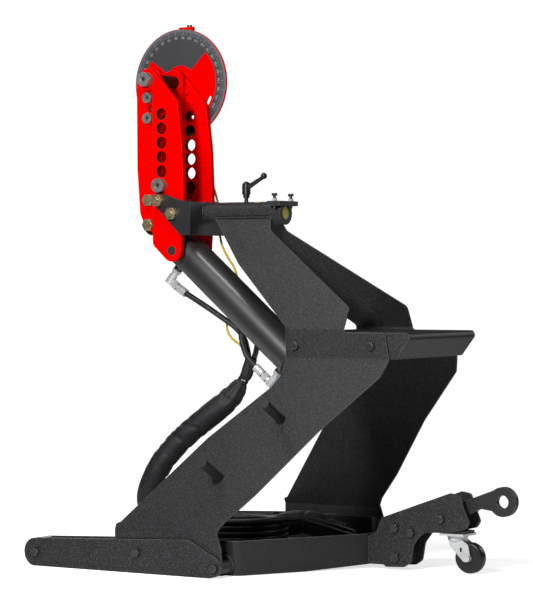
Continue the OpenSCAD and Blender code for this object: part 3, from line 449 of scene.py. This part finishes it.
sleeveCloth = wovenSleeve("sleeveNylon", {"dark": (0.0030, 0.0028, 0.0045), "light": (0.0085, 0.007, 0.0095),
                                          "thread": (0.014, 0.012, 0.016), "rough": 0.62, "sheen": 0.072,
                                          "sheenTint": (0.45, 0.42, 0.5), "sheenRough": 0.45,
                                          "round": 0.24, "threads": (900, 900), "threadShare": 0.35,
                                          "threadDepth": 0.00025, "softScale": 55,
                                          "softDepth": 0.003})
tieWhite = moulded("tieNylon", {"dark": (0.55, 0.55, 0.53), "light": (0.7, 0.7, 0.68), "rough": 0.4})
print("materials made")

finishOf = {
    charcoal: ["side_plate_front", "side_plate_rear", "spine_tube", "knee_channel",
               "leg_outer_front", "leg_inner_front", "leg_outer_rear", "leg_inner_rear", "leg_spacers",
               "tow_plate_front", "tow_plate_rear", "tow_web", "tow_eye_bar",
               "end_collar", "cross_bar"],
    trayCoat: ["tray"],
    redCoat: ["swing_arm_front", "swing_arm_rear", "degree_disc"],
    boredCoat: ["fixed_arm_front", "fixed_arm_rear"],
    stopCoat: ["trip_stop"],
    headBlack: ["head_bracket", "arm_cheeks", "rod_eye", "storage_pegs"],
    cylinderPaint: ["barrel", "base_cap", "trunnion_collar"],
    machined: ["drive_pins", "piston"],
    pinSteel: ["main_pin", "follower_pin"],
    chrome: ["piston_rod"],
    goldBolt: ["ear_bolts", "arm_bolts"],
    blackBolt: ["frame_bolts", "tow_bolts", "thumb_screw_front", "thumb_screw_rear"],
    zinc: ["port_fittings", "caster_plate", "caster_fork", "caster_axle", "lock_nuts"],
    bronze: ["rod_gland"],
    treadRubber: ["leg_wheel_front", "leg_wheel_rear", "caster_wheel"],
    blackPlastic: ["clamp_lever", "sensor_box"],
    yellowPlastic: ["tube_plug"],
}
for material, names in finishOf.items():
    for name in names:
        slots = nodes[name].data.materials
        for index in range(len(slots)):
            slots[index] = material
        if not len(slots):
            slots.append(material)
print("finishes given to", sum(len(n) for n in finishOf.values()), "nodes")


hoseLook = {"diameter": 0.014, "sides": 14}
hoseUpper = [(-354.2, 0, 651.6), (-336, 0, 642), (-314, 0, 630), (-285, 0, 614), (-266, 5, 601),
             (-248, 11, 588), (-229, 20, 573), (-217, 28, 559), (-209, 34, 546), (-203, 37, 532),
             (-198, 36, 518), (-192, 32, 504), (-187, 28, 490)]
hoseLower = [(-150.8, 0, 473.1), (-161, -0.5, 482.5), (-170, -1, 492), (-178, -1, 503), (-185, 1, 517),
             (-191, 3, 532), (-196, 7, 547), (-200, 15, 561), (-203, 28, 572), (-205, 44, 577),
             (-205, 61, 574), (-202, 73, 564), (-197, 78, 549), (-193, 76, 533), (-190, 69, 518),
             (-187, 59, 505), (-185, 50, 495), (-184, 45, 489)]
innerLead = [(19, 138, 57), (44, 132, 60), (62, 110, 66), (60, 78, 76), (36, 46, 88), (-2, 14, 101),
             (-34, -18, 107), (-50, -50, 107)]
outerLead = [(17, 156, 50), (52, 151, 50), (82, 126, 52), (88, 88, 58), (66, 50, 70), (28, 14, 88),
             (-8, -22, 103), (-36, -54, 107)]
lowTail = [(-158, -187.6, 36), (-180, -188.6, 36), (-203, -191.4, 35), (-224.2, -194, 31)]
highTail = [(-94, -170.6, 51), (-115, -182.5, 49), (-136, -194, 45), (-158, -205, 40),
            (-181, -215, 35), (-203, -223, 31.5), (-224.2, -226, 31)]
cableRoute = [(-358, 86, 984), (-352, 88, 962), (-343, 91, 942), (-334, 94, 920), (-326, 96, 895),
              (-320, 97, 870), (-318, 97, 850), (-317, 96, 828), (-314, 93, 798), (-303, 89, 768),
              (-283, 82, 742), (-260, 75, 716), (-247, 69, 688), (-246, 64, 660), (-253, 60, 632),
              (-261, 54, 604), (-265, 49, 578), (-262, 47, 558), (-249, 46, 540), (-231, 46, 528),
              (-214, 45, 515), (-203, 42, 503), (-196.5, 38, 493)]
cableLead = [(17, 137, 42), (31, 132, 34), (42, 120, 26), (46, 102, 20), (40, 82, 18.5), (26, 60, 18.5),
             (9, 38, 18.5), (-5, 17, 18.5), (-13, -6, 18.5), (-16, -32, 18.5), (-16.5, -60, 18.5)]
coilLook = {"centre": (-158, -60), "innerRadius": 96.8, "outerRadius": 111.2, "pitch": 14.15,
            "top": 107, "bottom": 22.3}


def coilPoints(stations, step=18):
    # stations are (degrees, radius, height): straight changes between them, wound clockwise
    cx, cy = coilLook["centre"]
    points = []
    for (a0, r0, z0), (a1, r1, z1) in zip(stations, stations[1:]):
        count = max(1, round(abs(a1 - a0) / step))
        for k in range(count):
            t = k / count
            a, r, z = math.radians(a0 + (a1 - a0) * t), r0 + (r1 - r0) * t, z0 + (z1 - z0) * t
            points.append((cx + r * math.cos(a), cy + r * math.sin(a), z))
    return points


def hosePiece(name, points, diameter, material, sides, body="root", steps=4):
    line = smoothLine([mm(*p) for p in points], steps)
    verts, faces, uvs = tube(line, diameter / 2, sides)
    return newPiece(name, verts, faces, material, body, True, uvs), line


def declareCord(piece, line):
    print(piece.name, round(lengthOf(line), 3), "m long")


for name, points, node in (("hoseUpper", hoseUpper, "hose_upper"), ("hoseLower", hoseLower, "hose_lower")):
    piece, line = hosePiece(name, points, hoseLook["diameter"], hoseRubber,
                            hoseLook["sides"], body=None)
    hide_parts(node)
    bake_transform(piece)
    declareCord(piece, line)

turn = -360  # degrees, clockwise seen from above
inner, outer = coilLook["innerRadius"], coilLook["outerRadius"]
topZ, lowZ, pitch = coilLook["top"], coilLook["bottom"], coilLook["pitch"]
innerTurns, outerTurns = (topZ - lowZ) / pitch, (topZ - lowZ - pitch) / pitch
innerWinding = coilPoints([(-6, 104, topZ), (-60, inner, topZ - pitch / 6), (innerTurns * turn, inner, lowZ),
                           (6 * turn - 62, outer + 1, lowZ + 1), (6 * turn - 84, 126, 35)])
outerWinding = coilPoints([(-10, 116.5, topZ), (-50, outer, topZ - pitch / 7),
                           (outerTurns * turn, outer, lowZ + pitch),
                           (5 * turn - 36, 116, 43), (5 * turn - 54, 126, 50)])
couplerLook = {"hex": [(0, 7.5), (0.8, 11.8), (1.5, 13.2), (20.5, 13.2), (22, 12.6)],
               "shell": [(20, 9), (22, 12), (23, 14.2), (24.5, 14.9), (35, 14.9), (36, 13.4), (38.5, 13.4),
                         (39.5, 14.9), (62, 14.9), (66, 14.2), (69.5, 12.8), (70, 12.2), (70, 9.4),
                         (60, 8.9)],
               "places": [(-225, -194, 30.8), (-225, -226, 30.8)]}
plugLook = {"place": (-158, 86.3, 23.3),
            "shell": [(0, 3.3), (1.5, 4.6), (9, 6.2), (11, 7.7), (27, 7.7), (28, 6.9), (30, 6.9), (31, 7.9),
                      (41, 7.9), (42, 7.4), (42, 6.2), (36, 6.0)]}


def turned(name, parts, at, axis, material, body="root"):
    # one mesh from several lathe profiles in millimetres, each (profile, sides)
    verts, faces = [], []
    for profile, count in parts:
        v, f = lathe([(x / 1000, r / 1000) for x, r in profile], mm(*at), axis, count)
        faces += [tuple(i + len(verts) for i in face) for face in f]
        verts += v
    return smoothBy(newPiece(name, verts, faces, material, body))


def smoothBy(piece, angle=35):
    # crisp corners on a piece that is smooth all over
    mesh = piece.data
    mesh.set_sharp_from_angle(angle=math.radians(angle))
    return piece


couplers = [turned("coupler" + side, [(couplerLook["hex"], 6), (couplerLook["shell"], 40)], at, (-1, 0, 0),
                   zinc)
            for side, at in zip(("Inner", "Outer"), couplerLook["places"])]
plug = turned("cablePlug", [(plugLook["shell"], 32)], plugLook["place"], (1, 0, 0), blackPlastic)
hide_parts("couplers")
for name, points, coupler in (("hoseCoilInner", innerLead + innerWinding + lowTail, couplers[0]),
                              ("hoseCoilOuter", outerLead + outerWinding + highTail, couplers[1])):
    piece, line = hosePiece(name, points, hoseLook["diameter"], hoseRubber, 12, steps=3)
    declareCord(piece, line)
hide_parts("hose_coil", "hose_leads")

cableLook = {"diameter": 0.006, "sides": 10}
piece, line = hosePiece("sensorCable", cableRoute, cableLook["diameter"], yellowJacket,
                        cableLook["sides"])
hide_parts("sensor_cable")
declareCord(piece, line)
cableTurns = coilPoints([(-12, 140.6, 18.5), (-70, 135.2, 18.5), (-300, 135.2, 18.5), (-355, 128.8, 18.5),
                         (-660, 128.8, 18.5), (-715, 128.8, 24.7), (-960, 128.8, 24.7),
                         (-1015, 135.2, 24.7), (-1310, 135.2, 24.7), (-1345, 143, 23.6)], 14)
piece, line = hosePiece("cableCoil", cableLead + cableTurns + [(-158, 86.3, 23.3)], cableLook["diameter"],
                        yellowJacket, cableLook["sides"], steps=3)
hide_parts("cable_coil")
declareCord(piece, line)
print("hoses and cables laid")


sleeveLook = {"width": 60, "neck": (30, 28, 29, 29, 24, 37, 47, 55), "ringStep": 0.0042, "sides": 72,
              "hem": 0.012, "hemShare": 0.985, "tied": 0.062,
              "oval": 0.02, "ovalFrom": 0.6, "ovalTwist": 2.2,
              "lumps": 0.03, "lumpScale": 22, "lumpRound": 1.7,
              "pleats": 9, "pleatDepth": 0.07, "pleatTwist": 30, "pleatReach": 0.075,
              "ends": ((0.86, 0.0012), (0.6, 0.006), (0.25, 0.010), (0.02, 0.011))}
creaseLook = {"count": 110, "depth": 0.0042, "deepest": 1.3, "from": 0.03, "toEnd": 0.02, "tilt": 0.7,
              "reach": (0.012, 0.045), "thick": (0.0025, 0.006), "share": (0.3, 1.0), "felt": 0.06,
              "fullWidth": 0.03}
sleeveRoute = [(-184, 34, 491.5), (-187.8, 33, 479), (-191.2, 31, 465.4), (-195, 29, 452.3),
               (-204.3, 26, 435.8), (-211, 24, 426.6), (-219.4, 20, 412.4), (-230.6, 14, 396.5),
               (-245.9, 6, 379.6), (-288.4, -8, 343.6), (-316.1, -14, 321.5), (-341.5, -20, 300.6),
               (-363.4, -26, 279.5), (-382.9, -32, 256.6), (-400, -42, 231), (-420, -48, 193),
               (-438, -47, 152), (-440, -40, 114), (-424, -28, 79), (-394, -12, 57), (-356, 10, 48),
               (-318, 34, 47), (-288, 58, 48), (-250, 86, 51), (-205, 110, 56), (-158, 128, 70),
               (-110, 138, 80), (-64, 142, 77), (-24, 144, 63), (14, 146, 52)]


def evenLine(line, step):
    total = lengthOf(line)
    count = round(total / step)
    out, run, i = [line[0].copy()], 0.0, 0
    for k in range(1, count):
        want = total * k / count
        while run + (line[i + 1] - line[i]).length < want:
            run += (line[i + 1] - line[i]).length
            i += 1
        part = (want - run) / (line[i + 1] - line[i]).length
        out.append(line[i].lerp(line[i + 1], part))
    return out + [line[-1].copy()]


def makeSleeve(look, crease):
    rough = smoothLine([mm(*p) for p in sleeveRoute], 6)
    stations = []  # distance along and width at each point of the route
    run = 0.0
    for i in range(len(sleeveRoute)):
        if i:
            run += lengthOf(rough[(i - 1) * 6:i * 6 + 1])
        width = look["neck"][i] if i < len(look["neck"]) else look["width"]
        stations.append((run, width / 2000))
    total = run
    line = evenLine(rough, look["ringStep"])

    def widthAt(s):
        for (s0, w0), (s1, w1) in zip(stations, stations[1:]):
            if s <= s1:
                t = (s - s0) / (s1 - s0)
                return w0 + (w1 - w0) * (t * t * (3 - 2 * t))
        return stations[-1][1]

    creases = []
    for _ in range(crease["count"]):
        creases.append((random.uniform(crease["from"], total - crease["toEnd"]),
                        random.uniform(0, 2 * math.pi), random.uniform(-crease["tilt"], crease["tilt"]),
                        random.uniform(*crease["reach"]), random.uniform(*crease["thick"]),
                        random.uniform(*crease["share"])))

    def radius(s, a, i):
        r = widthAt(min(s, total))
        r *= 1 + look["oval"] * math.cos(2 * (a - look["ovalFrom"] - look["ovalTwist"] * s))
        x, y, z = (n * look["lumpScale"] for n in line[i])
        r *= 1 + look["lumps"] * noise.noise(Vector((x, y, z + look["lumpRound"] * math.cos(a))))
        depth = 0.0
        for s0, a0, tilt, reach, thick, share in creases:
            if abs(s - s0) > crease["felt"]:
                continue
            da = (a - a0 + math.pi) % (2 * math.pi) - math.pi
            x, y = s - s0, da * r
            along, across = x * math.sin(tilt) + y * math.cos(tilt), x * math.cos(tilt) - y * math.sin(tilt)
            depth += share * math.exp(-(along / reach) ** 2 - (across / thick) ** 2)
        gather = min(1.0, r / crease["fullWidth"])
        r -= crease["depth"] * gather * min(depth, crease["deepest"])
        fromTie = s - look["tied"]
        if abs(fromTie) < look["pleatReach"]:  # where the tie draws the cloth together
            pleat = math.cos(look["pleats"] * a + look["pleatTwist"] * fromTie)
            r *= 1 + look["pleatDepth"] * pleat * (1 - abs(fromTie) / look["pleatReach"])
        end = min(s, total - s)
        if look["hem"] * 0.8 < end < look["hem"]:  # the line stitched round each hem
            r *= look["hemShare"]
        return r

    verts, faces, uvs = tube(line, radius, look["sides"], caps=False)
    count = look["sides"]
    for first, away in ((0, line[0] - line[2]), ((len(line) - 1) * count, line[-1] - line[-3])):
        # the ends are turned in around what comes out of them
        centre = sum((verts[first + k] for k in range(count)), Vector()) / count
        ring, base = list(range(first, first + count)), len(verts)
        inwards = -away.normalized()
        for share, sink in look["ends"]:
            for k in ring:
                verts.append(centre + (verts[k] - centre) * share + inwards * sink)
                uvs.append(uvs[k])
        rows = [ring] + [list(range(base + j * count, base + (j + 1) * count))
                         for j in range(len(look["ends"]))]
        for low, high in zip(rows, rows[1:]):
            for k in range(count):
                a, b, c, d = low[k], low[(k + 1) % count], high[(k + 1) % count], high[k]
                faces.append((a, b, c, d) if first else (a, d, c, b))
    sleeve = newPiece("hoseSleeve", verts, faces, sleeveCloth, "root", True, uvs)
    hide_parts("hose_sleeve")
    return sleeve, line, total


sleeve, sleeveLine, sleeveLength = makeSleeve(sleeveLook, creaseLook)
sleeveArea = sum(p.area for p in sleeve.data.polygons)
print("sleeve", round(sleeveLength, 3), "m long, cloth", round(sleeveArea, 4), "m2")


dialLook = {"centre": (-0.420, 1.184), "radius": 0.138, "face": 0.0739, "lift": 0.00015,
            "firstAngle": -70.0, "perTen": 10.6, "firstNumber": 20, "lastNumber": 200,
            "numberRadius": 0.845, "numberSize": 0.0095,
            # inner and outer share of the radius, and width
            "tick": (0.885, 0.925, 0.0006), "longTick": (0.885, 0.938, 0.0011), "tickEnd": 206,
            "arcStep": 2.5,
            "areas": (("dialOuterRing", 0.94, 0.992, 0, 360, dialGrey),
                      ("dialBand", 0.78, 0.94, 0, 360, dialPrint),
                      ("dialSector", 0.33, 0.78, -55.5, 45, dialPrint))}


def dialPoint(share, degrees, lift=0.0):
    # degrees run clockwise from the top, as the dial is read
    a = math.radians(degrees)
    r = share * dialLook["radius"]
    cx, cz = dialLook["centre"]
    return Vector((cx + r * math.sin(a), dialLook["face"] - lift, cz + r * math.cos(a)))


def dialArea(name, inner, outer, start, end, material):
    # from one share of the radius to another, between two angles
    count = max(2, round(abs(end - start) / dialLook["arcStep"]))
    verts, faces = [], []
    for k in range(count + 1):
        d = start + (end - start) * k / count
        verts += [dialPoint(share, d, dialLook["lift"]) for share in (inner, outer)]
        if k:
            faces.append((2 * k - 2, 2 * k - 1, 2 * k + 1, 2 * k))
    newPiece(name, verts, faces, material, "dial", False)


def markDial(look):
    for area in look["areas"]:
        dialArea(*area)
    over = 2 * look["lift"]
    verts, faces = [], []

    def stroke(inner, outer, degrees, width):
        half = math.degrees(width / 2 / look["radius"])
        base = len(verts)
        for share, d in ((inner, degrees - half), (outer, degrees - half), (outer, degrees + half),
                         (inner, degrees + half)):
            verts.append(dialPoint(share, d, over))
        faces.append((base, base + 1, base + 2, base + 3))

    def angleOf(number):
        return look["firstAngle"] + (number - look["firstNumber"]) * (look["perTen"] / 10)

    for number in range(0, look["tickEnd"], 2):
        inner, outer, width = look["longTick"] if number % 10 == 0 else look["tick"]
        stroke(inner, outer, angleOf(number), width)
    newPiece("dialTicks", verts, faces, dialMarks, "dial", False)
    labels = []
    for number in range(look["firstNumber"], look["lastNumber"] + 1, 10):
        angle = angleOf(number)
        text = bpy.data.curves.new("label", "FONT")
        text.body, text.size = str(number), look["numberSize"]
        text.align_x = text.align_y = "CENTER"
        label = bpy.data.objects.new("label", text)
        out = dialPoint(1, angle) - dialPoint(0, angle)
        up, away = -out.normalized(), Vector((0, -1, 0))
        label.matrix_world = (Matrix.Translation(dialPoint(look["numberRadius"], angle, over))
                              @ Matrix((up.cross(away), up, away)).transposed().to_4x4())
        bpy.context.scene.collection.objects.link(label)
        labels.append(label)
    bpy.context.view_layer.update()
    verts, faces = [], []
    for label in labels:
        mesh = label.to_mesh()
        faces += [tuple(i + len(verts) for i in p.vertices) for p in mesh.polygons]
        verts += [label.matrix_world @ v.co for v in mesh.vertices]
        label.to_mesh_clear()
        bpy.data.objects.remove(label)
    newPiece("dialNumbers", verts, faces, dialMarks, "dial", False)


markDial(dialLook)
print("dial marked")


spineLook = {"radius": 24.15, "height": 853.5}
weldLook = {"radius": 0.0026, "thinRadius": 0.0022, "ripple": 0.16, "pitch": 0.0042, "step": 0.0014,
            "sides": 10, "lean": 0.4, "lumps": 0.12, "lumpScale": 160, "endX": -288.5, "endGap": 0.8,
            "seam": {"y": 24.5, "z": 839.0, "along": range(-246, -94, 15)},
            "ear": {"x": -301.5, "y": 71.4, "along": range(800, 878, 11)}}


def weldBead(name, points, radius):
    line = evenLine(smoothLine([mm(*p) for p in points], 6), weldLook["step"])
    phase = random.uniform(0, 6)

    def bead(s, a, i):
        wave = abs(math.sin(math.pi * s / weldLook["pitch"] + phase + weldLook["lean"] * math.cos(a)))
        lump = weldLook["lumps"] * noise.noise(line[i] * weldLook["lumpScale"])
        return radius * (1 - weldLook["ripple"] * (1 - wave)) * (1 + lump)

    verts, faces = tube(line, bead, weldLook["sides"])[:2]
    newPiece(name, verts, faces, charcoal, "root")


def spinePoint(x, radius, degrees):
    # degrees run from the top of the spine tube
    a = math.radians(degrees)
    return x, radius * math.sin(a), spineLook["height"] + radius * math.cos(a)


def layWelds(look):
    ring = [spinePoint(look["endX"], spineLook["radius"] + look["endGap"], 360 * k / 24) for k in range(25)]
    weldBead("weldSpineEnd", ring, look["radius"])
    seam, ear = look["seam"], look["ear"]
    for side, y in (("Front", -1), ("Rear", 1)):
        weldBead("weldSeam" + side, [(x, y * seam["y"], seam["z"]) for x in seam["along"]],
                 look["thinRadius"])
        weldBead("weldEar" + side, [(ear["x"], y * ear["y"], z) for z in ear["along"]],
                 look["thinRadius"])


layWelds(weldLook)
print("welds laid")


stickerLook = {"from": -147, "to": -131, "low": -26, "high": 4, "lift": 0.25}


def spineSticker(look):
    # a small bare yellow sticker on top of the spine tube
    verts, faces = [], []
    for k in range(9):
        degrees = look["low"] + (look["high"] - look["low"]) * k / 8
        r = spineLook["radius"] + look["lift"]
        verts += [mm(*spinePoint(x, r, degrees)) for x in (look["from"], look["to"])]
        if k:
            faces.append((2 * k - 2, 2 * k - 1, 2 * k + 1, 2 * k))
    newPiece("spineSticker", verts, faces, yellowPlastic, "root")


spineSticker(stickerLook)

tieLook = {"at": (-204.3, 26, 435.8), "radius": 0.0127, "width": 0.0046, "thick": 0.0012,
           "ends": [(0.006, 0.002), (-0.006, 0.0035)], "endSize": (0.0042, 0.0022, 0.0022),
          "front": (0.53, -0.85, 0.0), "sides": 40}


def zipTie(look):
    # a dark band round the neck of the sleeve, with its two light cut ends towards the front
    at = min(range(len(sleeveLine)), key=lambda i: (sleeveLine[i] - mm(*look["at"])).length)
    tangents, sides = ringsAlong(sleeveLine)
    t, (u, v) = tangents[at], sides[at]
    centre, r = sleeveLine[at], look["radius"]
    verts, faces, count = [], [], look["sides"]
    for k in range(count):
        a = 2 * math.pi * k / count
        out = math.cos(a) * u + math.sin(a) * v
        for along, away in ((-0.5, 0), (-0.5, 1), (0.5, 1), (0.5, 0)):
            verts.append(centre + t * along * look["width"] + out * (r + away * look["thick"]))
    for k in range(count):
        for j in range(4):
            a, b = k * 4 + j, k * 4 + (j + 1) % 4
            c, d = ((k + 1) % count) * 4 + (j + 1) % 4, ((k + 1) % count) * 4 + j
            faces.append((a, d, c, b))
    smoothBy(newPiece("sleeveTie", verts, faces, blackPlastic, "root"), 30)
    front = Vector(look["front"])
    out = (front - t * front.dot(t)).normalized()
    across = t.cross(out)
    verts, faces = [], []
    for shift, lift in look["ends"]:
        base, (long, wide, deep) = len(verts), look["endSize"]
        for z in (-0.5, 0.5):
            for y in (-0.5, 0.5):
                for x in (0, 1):
                    verts.append(centre + out * (r + look["thick"] * 0.5 + x * deep)
                                 + across * (shift * 0.5 + y * long) + t * (z * wide - lift))
        for f in ((0, 2, 3, 1), (4, 5, 7, 6), (0, 1, 5, 4), (2, 6, 7, 3), (0, 4, 6, 2), (1, 3, 7, 5)):
            faces.append(tuple(base + i for i in f))
    newPiece("sleeveTieEnds", verts, faces, tieWhite, "root", False)


zipTie(tieLook)

casterLook = {"centre": (441, 0, 36.5),
              "tread": [(-12, 22.5), (-12, 31.5), (-11.2, 33.8), (-9.4, 35.4), (-6.5, 36.3), (0, 36.5),
                        (6.5, 36.3), (9.4, 35.4), (11.2, 33.8), (12, 31.5), (12, 22.5)],
              "rim": [(-9.5, 6), (-9.5, 9.5), (-8.2, 10.5), (-8.0, 19.5), (-10.2, 21.3), (-12.1, 22.0),
                      (-12.1, 23.6), (12.1, 23.6), (12.1, 22.0), (10.2, 21.3), (8.0, 19.5), (8.2, 10.5),
                      (9.5, 9.5), (9.5, 6)],
              "hub": [(-13.4, 5.2), (-13.4, 8.4), (13.4, 8.4), (13.4, 5.2)]}


def casterPiece(name, shape, sides, material):
    return turned(name, [(casterLook[shape], sides)], casterLook["centre"], (0, 1, 0), material,
                  "caster_roller")


tread = casterPiece("casterTread", "tread", 72, treadRubber)
casterPiece("casterRim", "rim", 64, blackPlastic)
casterPiece("casterHub", "hub", 32, zinc)
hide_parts("caster_wheel")
print("tie and caster wheel made")


lightLook = {
    "key": {"from": (0.30, -2.2, 0.84), "far": 2.37, "power": 52, "size": (0.3, 0.3)},
    "top": {"from": (-0.05, -0.55, 1.0), "far": 2.4, "power": 28, "size": (2.2, 0.3)},
    "backLeft": {"from": (-0.75, 0.62, 0.35), "far": 3.6, "power": 26, "size": (1.4, 1.4)},
    "backRight": {"from": (0.55, 0.8, 0.35), "far": 3.6, "power": 20, "size": (1.4, 1.4)},
}


lightTarget = (-0.05, 0, 0.62)


def placeLights(look, target):
    for name, values in look.items():
        data = bpy.data.lights.new(name, "AREA")
        data.shape, data.size, data.size_y = "RECTANGLE", *values["size"]
        data.energy = values["power"]
        light = bpy.data.objects.new(name, data)
        way = Vector(values["from"]).normalized()
        light.location = Vector(target) + way * values["far"]
        light.rotation_euler = way.to_track_quat("Z", "Y").to_euler()
        bpy.context.scene.collection.objects.link(light)


roomLook = {"tint": (0.93, 0.96, 1.0), "around": 0.018, "seen": 1.05}
floorLook = {"radius": 3.0, "fadeFrom": 1.2, "seen": 0.7, "cast": 0.12, "colour": (0.9, 0.9, 0.9),
             "rough": 0.9, "corners": 96}


def whiteRoom(room, floor):
    world = bpy.data.worlds.new("studio")
    bpy.context.scene.world = world
    world.use_nodes = True
    tree = world.node_tree
    seen = add(tree, "Background", inputs={"Color": (1, 1, 1, 1), "Strength": room["seen"]})
    lit = tree.nodes["Background"]
    lit.inputs["Color"].default_value = rgb(room["tint"])
    lit.inputs["Strength"].default_value = room["around"]
    path = add(tree, "LightPath")
    mix = add(tree, "MixShader", inputs={0: path.outputs["Is Camera Ray"], 1: lit.outputs[0],
                                         2: seen.outputs[0]})
    tree.links.new(mix.outputs[0], tree.nodes["World Output"].inputs[0])
    floorPaint, tree, shader = startMaterial("floorPaper", floor["rough"])
    shader.inputs["Base Color"].default_value = rgb(floor["colour"])
    shader.inputs["Emission Color"].default_value = (1, 1, 1, 1)
    eye = add(tree, "LightPath").outputs["Is Camera Ray"]
    tree.links.new(stretch(tree, eye, 0.0, 1.0, floor["cast"], floor["seen"]),
                   shader.inputs["Emission Strength"])
    reach = add(tree, "VectorMath", {"operation": "LENGTH"}, {0: places(tree)}).outputs["Value"]
    tree.links.new(stretch(tree, reach, floor["fadeFrom"], floor["radius"], 1.0, 0.0),
                   shader.inputs["Alpha"])
    corners = [2 * math.pi * k / floor["corners"] for k in range(floor["corners"])]
    rim = [(floor["radius"] * math.cos(a), floor["radius"] * math.sin(a), 0) for a in corners]
    newPiece("floor", rim, [tuple(range(len(rim)))], floorPaint, None)


placeLights(lightLook, lightTarget)
whiteRoom(roomLook, floorLook)
bpy.context.scene.view_settings.view_transform = "Standard"
print("lights and floor placed")
